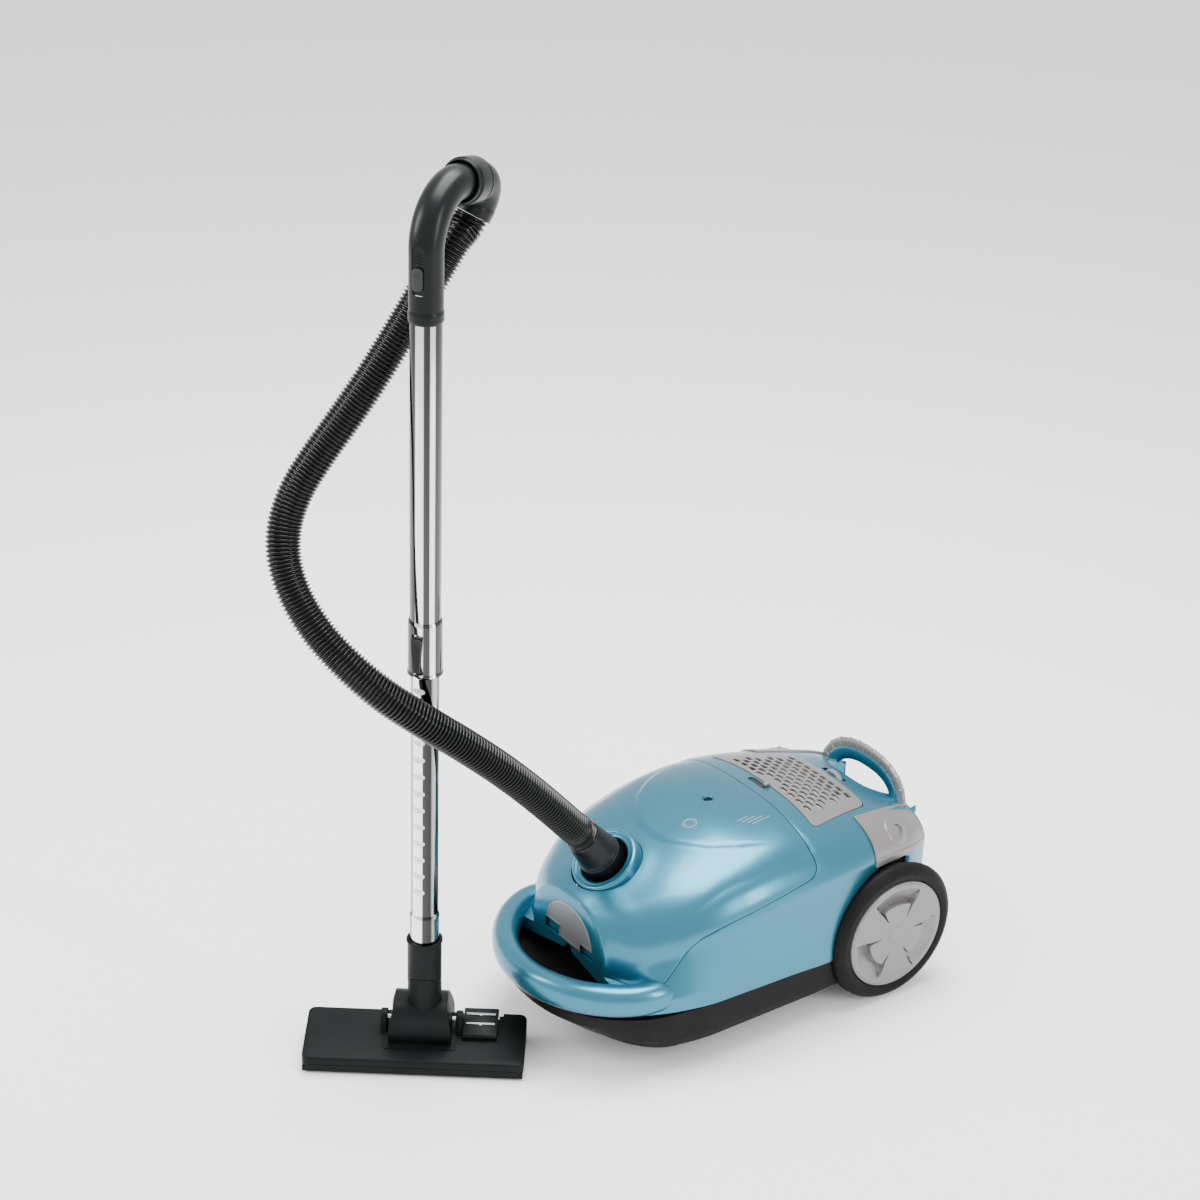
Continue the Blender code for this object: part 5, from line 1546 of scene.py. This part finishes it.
# =============================================================================
# Wand: tubes, sleeve, grip and swivel
# =============================================================================
LOWER_R = 0.0160
SWAGE_R = 0.0173
SWAGE_TOP_Z = 0.203
LOWER_BOTTOM_Z = 0.130
LOWER_TOP_Z = 0.640
UPPER_R = 0.0178
UPPER_BOTTOM_Z = 0.545
UPPER_TOP_Z = 0.975
SLEEVE_Z = (0.5200, 0.5875)
SLEEVE_R = 0.0196
GRIP_R = 0.0186
COLLAR_R = 0.0262
ELBOW_R = 0.0212
SOCKET_TOP_Z = 0.167
NOTCH_TOP_Z = 0.5018
NOTCH_PITCH = 0.0220
NOTCHES = 13


def tube_metal_painted_reflections(name, bands):
    """Polished tube metal: streaks along the tube, and painted reflections as lighter and darker bands round
    its turn.
    """
    n = Nodes(name)
    mapping = n.add("ShaderNodeMapping")
    foot = WAND_FOOT + SHIFT
    mapping.inputs["Location"].default_value = (-foot.x, -foot.y, 0.0)
    n.link(n.coords(), mapping.inputs["Vector"])
    around = n.add("ShaderNodeTexGradient", gradient_type="RADIAL")
    n.link(mapping.outputs["Vector"], around.inputs["Vector"])
    stretch = n.add("ShaderNodeMapping")
    stretch.inputs["Scale"].default_value = (260.0, 260.0, 3.0)
    n.link(n.coords(), stretch.inputs["Vector"])
    streak = n.noise(1.0, 3.0, stretch.outputs["Vector"])
    n.link(n.ramp(around.outputs["Fac"], *bands), n.shader.inputs["Base Color"])
    n.link(n.spread(streak, 0.05, 0.12), n.shader.inputs["Roughness"])
    n.set(Metallic=1.0)
    return n.material


def painted_reflection_bands(stops):
    """Painted reflections: grey stops round the tube from (degrees, shade) pairs, sorted by turn."""
    result = []
    for angle, shade in stops:
        share = ((angle + 180.0) % 360.0) / 360.0
        result.append((share, (shade, shade * 0.985, shade * 0.965)))
    return sorted(result)


# Painted reflections of the upper tube and the sleeve: light and dark bands fixed round the tube.
UPPER_REFLECTION_BANDS = (
    (-180, 0.20), (-150, 0.75), (-125, 0.10), (-74, 0.05), (-70, 0.92), (-43, 0.95), (-39, 0.06),
    (-19, 0.05), (-16, 0.90), (0, 0.85), (4, 0.06), (52, 0.12), (70, 0.80), (100, 0.14), (150, 0.60),
)
TUBE_UPPER = tube_metal_painted_reflections("tube_upper", painted_reflection_bands(UPPER_REFLECTION_BANDS))
# Painted reflections of the lower tube: light and dark bands fixed round the tube.
LOWER_REFLECTION_BANDS = (
    (-180, 0.20), (-150, 0.70), (-110, 0.08), (-96, 0.06), (-91, 0.92), (-45, 0.90), (-41, 0.05),
    (-8, 0.03), (2, 0.30), (24, 0.45), (34, 0.08), (60, 0.15), (90, 0.80), (120, 0.14), (150, 0.60),
)
TUBE_LOWER = tube_metal_painted_reflections("tube_lower", painted_reflection_bands(LOWER_REFLECTION_BANDS))
SLOT_OF.update({TUBE_UPPER.name: "chrome", TUBE_LOWER.name: "chrome"})


def make_tubes():
    """The chrome tubes, the lock sleeve and its button."""
    lower = rounded(
        [
            (0.0125, LOWER_BOTTOM_Z),
            (SWAGE_R, LOWER_BOTTOM_Z),
            (SWAGE_R, SWAGE_TOP_Z - 0.0060),
            (SWAGE_R + 0.0004, SWAGE_TOP_Z - 0.0030),
            (SWAGE_R - 0.0002, SWAGE_TOP_Z - 0.0008),
            (LOWER_R, SWAGE_TOP_Z + 0.0022),
            (LOWER_R, LOWER_TOP_Z),
            (0.0125, LOWER_TOP_Z),
        ],
        0.0010,
    )
    tube = piece("tube_lower", lathe(lower, 96), "lower_wand", TUBE_LOWER, ["lower_tube"], 30, matrix=WAND)
    notches = []
    for k in range(NOTCHES):
        z = NOTCH_TOP_Z - NOTCH_PITCH * k
        rod = lathe([(0, -0.02), (0.0046, -0.02), (0.0046, 0.02), (0, 0.02)], 40)
        rod.transform(WAND @ aimed((0, -0.0140 - 0.0046, z), (1, 0, 0)))
        notches.append(rod)
    carve(tube, tool(joined(*notches)), smooth=28, solver="MANIFOLD")
    # The notch faces take the darker metal: painted shade in the notches.
    tube.data.materials.append(NOTCH_SHADE_METAL)
    axis = Vector((WAND_FOOT.x + SHIFT.x, WAND_FOOT.y + SHIFT.y))
    for face in tube.data.polygons:
        away = (Vector((face.center.x, face.center.y)) - axis).length
        if 0.0131 < away < 0.01575 and abs(face.normal.z) < 0.999 and face.center.z < NOTCH_TOP_Z + 0.01:
            face.material_index = 1
    upper = rounded(
        [
            (0.0164, UPPER_BOTTOM_Z), (UPPER_R, UPPER_BOTTOM_Z), (UPPER_R, UPPER_TOP_Z),
            (0.0164, UPPER_TOP_Z),
        ],
        0.0004,
    )
    piece("tube_upper", lathe(upper, 96), "wand", TUBE_UPPER, ["upper_tube"], 30, matrix=WAND)
    z0, z1 = SLEEVE_Z
    sleeve = rounded(
        [
            (LOWER_R + 0.0004, z0),
            (SLEEVE_R + 0.0010, z0),
            (SLEEVE_R + 0.0012, z0 + 0.0026),
            (SLEEVE_R + 0.0002, z0 + 0.0050),
            (SLEEVE_R, z1 - 0.0030),
            (SLEEVE_R - 0.0010, z1),
            (UPPER_R + 0.0003, z1),
            (UPPER_R + 0.0003, UPPER_BOTTOM_Z - 0.0004),
            (LOWER_R + 0.0004, UPPER_BOTTOM_Z - 0.0004),
        ],
        0.0008,
    )
    ring = piece("tube_sleeve", lathe(sleeve, 96), "wand", TUBE_UPPER, ["lock_sleeve"], 30, matrix=WAND)
    pocket = rounded_plan(
        [(-0.0048, z0 + 0.0065), (0.0048, z0 + 0.0065), (0.0074, z1 - 0.0130), (-0.0074, z1 - 0.0130)],
        0.0022,
    )
    carve(ring, tool(prism(pocket, 0.0170, 0.0300), WAND @ FACE_UP), smooth=30)
    shape = rounded_plan(
        [(-0.0044, z0 + 0.0072), (0.0044, z0 + 0.0072), (0.0068, z1 - 0.0185), (-0.0068, z1 - 0.0185)],
        0.0020,
    )
    button = prism(shape, 0.0188, 0.0222, 0.0008, 3)
    ridges = [button]
    for k in range(4):
        z = z0 + 0.034 + 0.0034 * k
        ridges.append(block((-0.0040, -0.0226, z), (0.0040, -0.0215, z + 0.0012), 0.0003, 1))
    for ridge in ridges[1:]:
        ridge.transform(FACE_UP.inverted())
    piece("sleeve_button", joined(*ridges), "lock_button", GREY, ["lock_button"], matrix=WAND @ FACE_UP)
    # A dark floor under the button's pocket: painted shade.
    floor = prism(
        rounded_plan(
            [(-0.0050, z0 + 0.0060), (0.0050, z0 + 0.0060), (0.0076, z1 - 0.0125), (-0.0076, z1 - 0.0125)],
            0.002,
        ),
        0.0160,
        0.0172,
    )
    piece("sleeve_pocket_floor", floor, "wand", SHADE_FILL, matrix=WAND @ FACE_UP)


def grip_path(start_z, steps=40):
    points = [(0.0, 0.0, start_z + (GRIP_BEND_Z - start_z) * k / 40) for k in range(40)]
    for i in range(steps + 1):
        t = GRIP_TURN * i / steps
        points.append((0.0, GRIP_BEND_R * (1 - cos(t)), GRIP_BEND_Z + GRIP_BEND_R * sin(t)))
    return points


def collar_frame():
    """The swivel collar's start and axis, in the canister's frame."""
    point = Vector(grip_path(GRIP_BOTTOM_Z)[-1])
    direction = Vector((0.0, sin(GRIP_TURN), cos(GRIP_TURN)))
    return WAND @ point, (WAND.to_3x3() @ direction).normalized()


def elbow_path(steps=24):
    start, axis = collar_frame()
    mouth = start + axis * (COLLAR_LENGTH + 0.0012)
    begin = mouth + axis * 0.0040
    turn = axis.angle(HOSE_START_DIRECTION)
    normal = (HOSE_START_DIRECTION - axis * axis.dot(HOSE_START_DIRECTION)).normalized()
    points = [mouth]
    for i in range(steps + 1):
        t = turn * i / steps
        points.append(begin + axis * (ELBOW_BEND_R * sin(t)) + normal * (ELBOW_BEND_R * (1 - cos(t))))
    points.append(points[-1] + HOSE_START_DIRECTION * 0.010)
    return points


def make_grip():
    """The bent hand grip with its bleed slider in a track."""
    path = grip_path(GRIP_BOTTOM_Z)

    def sections(i):
        z = path[i][2] if i < 40 else 1.02
        r = GRIP_R
        if z < GRIP_BOTTOM_Z + 0.0115:
            r = GRIP_R + 0.0007 - 0.0008 * step((GRIP_BOTTOM_Z + 0.0012 - z) / 0.0012)
        elif z < GRIP_BOTTOM_Z + 0.0132:
            r = GRIP_R - 0.0006
        swell = 0.0008 * step((i - 36) / 20)
        return super_oval(r + swell, r + swell, 2.15, 48)

    grip = piece(
        "grip_tube",
        tube_along(path, sections, (1, 0, 0)),
        "wand",
        BLACK_SMOOTH,
        ["handle_grip"],
        30,
        matrix=WAND,
    )
    track = rounded_plan([(-0.0072, 0.9740), (0.0072, 0.9740), (0.0072, 1.0290), (-0.0072, 1.0290)], 0.0050)
    carve(grip, tool(prism(track, 0.0166, 0.0300), WAND @ FACE_UP), smooth=30)
    track_ribs = []
    for k in range(4):
        z = 1.0085 + 0.0036 * k
        track_ribs.append(block((-0.0045, -0.0176, z), (0.0045, -0.0160, z + 0.0013), 0.0003, 1))
    piece("grip_track_ribs", joined(*track_ribs), "wand", BLACK_SMOOTH, matrix=WAND)
    thumb_plan = rounded_plan(
        [(-0.0060, 0.9800), (0.0060, 0.9800), (0.0060, 1.0050), (-0.0060, 1.0050)], 0.0056, 10
    )
    slider = prism(thumb_plan, 0.0160, 0.0212, 0.0016, 4)
    ribs = [slider]
    for k in range(3):
        z = 0.9970 + 0.0024 * k
        rib = block((-0.0038, -0.0217, z), (0.0038, -0.0205, z + 0.0009), 0.0003, 1)
        rib.transform(FACE_UP.inverted())
        ribs.append(rib)
    piece("grip_slider", joined(*ribs), "bleed_slider", GREY, ["bleed_slider"], matrix=WAND @ FACE_UP)
    dot = lathe([(0.0, -0.002), (0.0014, -0.002), (0.0014, 0.0005), (0.0008, 0.0008), (0.0, 0.0008)], 20)
    piece("grip_dot", dot, "wand", BLACK_SMOOTH, matrix=WAND @ aimed((0, -0.0166, 1.0355), (0, -1, 0)))


def make_swivel():
    """The collar at the grip's end and the elbow that turns in it."""
    start, axis = collar_frame()
    collar = rounded(
        [
            (0.0140, 0.0096),
            (GRIP_R + 0.0014, 0.0096),
            (GRIP_R + 0.0014, 0.0020),
            (COLLAR_R - 0.0034, -0.0004),
            (COLLAR_R - 0.0022, 0.0002),
            (COLLAR_R - 0.0020, 0.0044),
            (COLLAR_R - 0.0004, 0.0052),
            (COLLAR_R, 0.0066),
            (COLLAR_R, COLLAR_LENGTH - 0.0074),
            (COLLAR_R - 0.0006, COLLAR_LENGTH - 0.0066),
            (COLLAR_R - 0.0006, COLLAR_LENGTH - 0.0050),
            (COLLAR_R, COLLAR_LENGTH - 0.0042),
            (COLLAR_R - 0.0002, COLLAR_LENGTH - 0.0016),
            (COLLAR_R - 0.0024, COLLAR_LENGTH),
            (0.0140, COLLAR_LENGTH),
        ],
        0.0008,
    )
    piece(
        "collar",
        lathe(collar, 96),
        "wand",
        BLACK_SMOOTH,
        ["swivel_collar"],
        30,
        matrix=aimed(start + axis * 0.0006, axis),
    )
    path = elbow_path()
    last = len(path) - 1

    def sections(i):
        grow = 0.0006 if i >= last - 2 else 0.0
        return super_oval(ELBOW_R + grow, ELBOW_R + grow, 2.0, 40)

    return piece("elbow", tube_along(path, sections, (0.3, 1, 0)), "wand", BLACK_SMOOTH, ["hose_elbow"], 30)


# =============================================================================
# Hose: three lengths, one on each side of the joints it crosses
# =============================================================================
HOSE_R = 0.0200
RIB_PITCH = 0.0047
RIB_DEPTH = 0.0034
RINGS_PER_RIB = 7
HOSE_SIDES = 28


def spline(points, step_length):
    """Points about step_length apart along a smooth curve through the given ones."""
    points = [Vector(p) for p in points]
    ends = [2 * points[0] - points[1], *points, 2 * points[-1] - points[-2]]
    fine = []
    for a, b, c, d in zip(ends, ends[1:], ends[2:], ends[3:]):
        for k in range(24):
            t = k / 24
            cubic = 2 * b + (c - a) * t + (2 * a - 5 * b + 4 * c - d) * t * t + (3 * b - a - 3 * c + d) * t**3
            fine.append(0.5 * cubic)
    fine.append(points[-1])
    length = sum((b - a).length for a, b in zip(fine, fine[1:]))
    return even_path(fine, round(length / step_length))


def hose_mesh(points, first, frames):
    """One closed stretch of ribbed hose. first is the place of its first ring in the whole."""
    bm = bmesh.new()
    turns = [(cos(2 * pi * k / HOSE_SIDES), sin(2 * pi * k / HOSE_SIDES)) for k in range(HOSE_SIDES)]
    rows = []
    for i, (p, (side, top)) in enumerate(zip(points, frames)):
        phase = ((first + i) % RINGS_PER_RIB) / RINGS_PER_RIB
        r = HOSE_R - RIB_DEPTH * (0.5 - 0.5 * cos(2 * pi * phase)) ** 1.4
        rows.append([bm.verts.new(p + side * (r * c) + top * (r * s)) for c, s in turns])
    grid_faces(bm, rows, wrap=True)
    bm.faces.new(rows[0])
    bm.faces.new(list(reversed(rows[-1])))
    bmesh.ops.recalc_face_normals(bm, faces=bm.faces)
    return bm


def make_hose(elbow):
    """The ribbed hose in three lengths, cut at two points along its route."""
    start = INLET_CENTRE + INLET_AXIS * 0.0606
    end = elbow_path()[-1] + HOSE_START_DIRECTION * 0.0005
    lead_in, lead_out = INLET_CENTRE + INLET_AXIS * 0.072, end + HOSE_START_DIRECTION * 0.012
    points, _ = spline([start, lead_in, *HOSE_ROUTE, lead_out, end], RIB_PITCH / RINGS_PER_RIB)
    frames = []
    top = Vector((0, 0, 1))
    for i in range(len(points)):
        ahead = (points[min(i + 1, len(points) - 1)] - points[max(i - 1, 0)]).normalized()
        top = (top - ahead * top.dot(ahead)).normalized()
        frames.append((ahead.cross(top).normalized(), top.copy()))
    cuts = [0]
    for k in (6, 12):
        target = Vector(HOSE_ROUTE[k])
        cuts.append(min(range(len(points)), key=lambda i: (points[i] - target).length))
    cuts.append(len(points) - 1)
    bodies = (("lid", "canister"), ("canister", "lower_wand"), ("lower_wand", "wand"))
    names = ("hose_front", "hose_middle", "hose_upper")
    for (a, b), name, low, high in zip(bodies, names, cuts, cuts[1:]):
        part = points[low : high + 1]
        bm = hose_mesh(part, low, frames[low : high + 1])
        obj = piece(name, bm, None, HOSE_BLACK, ["hose"] if name == "hose_middle" else (), 60)
        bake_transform(obj)


# =============================================================================
# Floor head
# =============================================================================
HEAD_HALF = 0.132
HEAD_FRONT_Y = -0.046
HEAD_BACK_Y = 0.046
HEAD_FRONT_Z = 0.0225
HEAD_BACK_Z = 0.0340
BARREL_Y = 0.015
BARREL_Z = 0.0440
BARREL_R = 0.0340
BARREL_X = (-0.033, 0.047)
NECK_LEAN = radians(30.0)
NECK_JOINT_Z = 0.1080
NECK_R = 0.0202


def neck_frame():
    """Where the wand's foot meets the neck, in the head's frame, and the neck's axis."""
    offset = Matrix.Rotation(-HEAD_YAW, 4, "Z") @ (WAND_FOOT - HEAD_PLACE)
    return Vector((offset.x, offset.y, NECK_JOINT_Z)), Vector((0.0, sin(NECK_LEAN), cos(NECK_LEAN)))


def head_top(y):
    """Height of the head's cover at y."""
    return float(np.interp(y, (HEAD_FRONT_Y, -0.010, HEAD_BACK_Y), (HEAD_FRONT_Z, 0.0276, HEAD_BACK_Z)))


def make_head():
    """The head's wedge-shaped cover, with the rocker's well and the barrel's two ears."""
    def plan(inset):
        low, high, half = HEAD_FRONT_Y + inset, HEAD_BACK_Y - inset, HEAD_HALF - inset
        front = rounded_plan([(-half, low), (half, low), (half, high), (-half, high)], 0.0105 - inset, 7)
        dense = []
        for (ax, ay), (bx, by) in zip(front, front[1:] + front[:1]):
            n = max(1, int(abs(by - ay) / 0.009))
            dense += [(ax + (bx - ax) * k / n, ay + (by - ay) * k / n) for k in range(n)]
        return dense

    bm = bmesh.new()
    rows = []
    for inset, drop in ((0.0, None), (0.0, 0.0022), (0.0005, 0.0010), (0.0014, 0.0003), (0.0026, 0.0)):
        ring = plan(inset)
        rows.append([bm.verts.new((x, y, 0.0100 if drop is None else head_top(y) - drop)) for x, y in ring])
    grid_faces(bm, rows, wrap=True)
    bm.faces.new(list(reversed(rows[0])))
    bm.faces.new(rows[-1])
    bmesh.ops.recalc_face_normals(bm, faces=bm.faces)
    cover = piece("head_top", bm, "head", BLACK, ["head_cover"], 30, matrix=HEAD)
    hole = block((0.0553, -0.0068, 0.005), (0.0987, 0.060, 0.060), 0.0008)
    gap = block((0.0980, 0.0395, 0.005), (0.1035, 0.060, 0.060), 0.0008)
    line = block((-0.2, HEAD_FRONT_Y - 0.002, 0.0126), (0.2, HEAD_FRONT_Y + 0.0006, 0.0133))
    carve(cover, tool(hole, HEAD), tool(gap, HEAD), tool(line, HEAD), smooth=30)
    # A dark box under the rocker's hole: painted shade.
    well = block((0.0550, -0.0070, 0.0100), (0.1040, 0.0455, 0.0240))
    piece("head_pedal_well", well, "head", SHADE_FILL, matrix=HEAD)
    apron = rounded_plan(
        [(-0.0375, -0.0255), (0.0500, -0.0255), (0.0500, 0.0300), (-0.0375, 0.0300)], 0.004
    )
    bm = prism(apron, 0.020, 0.0320)
    for v in bm.verts:
        if v.co.z > 0.03:
            v.co.z = head_top(v.co.y) + 0.0008
    piece("head_apron", bm, "head", BLACK, matrix=HEAD)
    for x, label in ((BARREL_X[0] - 0.0090, "left"), (BARREL_X[1] + 0.0010, "right")):
        outline = []
        for k in range(21):
            t = pi * k / 20
            outline.append((BARREL_Y + 0.0105 * cos(t), BARREL_Z + 0.0105 * sin(t)))
        outline += [(BARREL_Y - 0.0130, 0.0290), (BARREL_Y + 0.0130, 0.0290)]
        bm = prism(outline, x, x + 0.0080, 0.0012)
        bm.transform(Matrix(((0, 0, 1, 0), (1, 0, 0, 0), (0, 1, 0, 0), (0, 0, 0, 1))))
        piece("head_ear_" + label, bm, "head", BLACK, matrix=HEAD)


def make_neck():
    """The barrel that tilts in the head, and the bent neck that takes the wand's socket."""
    centre, axis = neck_frame()
    bm = bmesh.new()
    count, across = 96, 14
    rows = []
    for k in range(count):
        t = 2 * pi * k / count
        full = 1 + 0.17 * max(sin(2 * t), 0.0) ** 2 if t < pi / 2 else 1.0
        y, z = BARREL_Y - BARREL_R * full * cos(t), BARREL_Z + BARREL_R * full * sin(t)
        draw = 0.0058 * step((sin(t) + 0.15) / 1.1)
        x0, x1 = BARREL_X[0] + 0.0014 + draw, BARREL_X[1] - 0.0030 - draw
        rows.append([bm.verts.new((x0 + (x1 - x0) * i / across, y, z)) for i in range(across + 1)])
    grid_faces(bm, rows + [rows[0]])
    bm.faces.new([row[0] for row in rows])
    bm.faces.new([row[-1] for row in reversed(rows)])
    bmesh.ops.recalc_face_normals(bm, faces=bm.faces)
    hood = piece("neck_hood", bm, "neck", BLACK, ["neck_barrel"], 34, matrix=HEAD)
    eased(hood, 0.0014, 40, 3)
    hood.data.set_sharp_from_angle(angle=radians(34))
    foot = Vector((centre.x, BARREL_Y - 0.004, BARREL_Z + 0.010))
    top = centre + Vector((0, 0, 0.020))
    path = [foot.lerp(top, k / 20) for k in range(21)]
    stem = tube_along(path, super_oval(NECK_R, NECK_R, 2.0, 56), (0, 1, 0))
    stem_obj = piece("neck_stem", stem, "neck", BLACK, smooth=30, matrix=HEAD)
    plane = aimed(centre, axis)
    carve(stem_obj, tool(block((-0.06, -0.06, -0.0002), (0.06, 0.06, 0.10)), HEAD @ plane), smooth=30)
    profile = rounded(
        [
            (0.0172, 0.0700),
            (NECK_R, 0.0700),
            (NECK_R, SOCKET_TOP_Z - 0.0052),
            (NECK_R + 0.0011, SOCKET_TOP_Z - 0.0038),
            (NECK_R + 0.0014, SOCKET_TOP_Z - 0.0006),
            (NECK_R + 0.0004, SOCKET_TOP_Z),
            (0.0178, SOCKET_TOP_Z),
        ],
        0.0007,
    )
    socket = piece("socket", lathe(profile, 72), "lower_wand", BLACK, ["pipe_socket"], 30, matrix=WAND)
    carve(socket, tool(block((-0.06, -0.06, -0.10), (0.06, 0.06, 0.0008)), HEAD @ plane), smooth=30)


PEDAL_PROFILE = (
    (-0.0055, 0.0322), (-0.0040, 0.0350), (0.0190, 0.0418), (0.0205, 0.0412), (0.0220, 0.0420),
    (0.0455, 0.0398), (0.0475, 0.0380),
)


def rocker_top(y):
    """Height of the rocker's top at y."""
    return float(np.interp(y, [p[0] for p in PEDAL_PROFILE], [p[1] for p in PEDAL_PROFILE]))


def make_rocker():
    """The rocker that lowers the brushes, with its two white marks."""
    outline = [(-0.0050, 0.0290), *PEDAL_PROFILE, (0.0475, 0.0330), (0.0200, 0.0310)]
    bm = prism(outline, 0.0563, 0.0977)
    bm.transform(Matrix(((0, 0, 1, 0), (1, 0, 0, 0), (0, 1, 0, 0), (0, 0, 0, 1))))
    rocker = piece("rocker", bm, "mode_pedal", BLACK, ["mode_pedal"], 28, matrix=HEAD)
    eased(rocker, 0.0007, 40)
    rocker.data.set_sharp_from_angle(angle=radians(28))
    bm = bmesh.new()

    def mark(x0, x1, y0, y1):
        corners = ((x0, y0), (x1, y0), (x1, y1), (x0, y1))
        bm.faces.new([bm.verts.new((x, y, rocker_top(y) + 0.00025)) for x, y in corners])

    mark(0.0600, 0.0940, 0.0292, 0.0304)
    for k in range(18):
        x = 0.0600 + 0.0340 * k / 17
        mark(x - 0.00045, x + 0.00045, 0.0304, 0.0338)
    mark(0.0755, 0.0785, 0.0276, 0.0292)
    mark(0.0600, 0.0940, 0.0118, 0.0138)
    mark(0.0755, 0.0785, 0.0102, 0.0118)
    icons = piece("rocker_marks", bm, "mode_pedal", WHITE_MARK, matrix=HEAD)
    modified(icons, ("SOLIDIFY", {"thickness": 0.0003, "offset": 0.0}))


# =============================================================================
# The rest
# =============================================================================
def paint_all():
    """Materials of the CAD nodes that keep their own shape."""
    paint(BLACK_BASE, "bulkhead", "caster_fork")
    paint(WHITE, "bag_holder", "motor_inlet_filter", "exhaust_filter")
    paint(PAPER, "dust_bag")
    paint(BOARD, "circuit_board")
    paint(
        STEEL,
        "motor",
        "fan_impeller",
        "barrel_pin_left",
        "barrel_pin_right",
        "caster_pin",
        "head_glide_a",
        "head_glide_b",
    )
    paint(STEEL, "base_screw_left", "base_screw_right", "wheel_axle_left", "wheel_axle_right")
    paint(STEEL, "power_pedal_spring", "cord_rewind_pedal_spring")
    paint(RUBBER, "motor_mount", "inlet_seal")
    paint(GREY, "cord_reel", "caster_roller")
    paint(BLACK, "cord_reel_axle", "sole_plate")
    paint(BRISTLE, "brush_strip_front", "brush_strip_rear")


make_tubes()
make_grip()
make_hose(make_swivel())
make_head()
make_neck()
make_rocker()
paint_all()
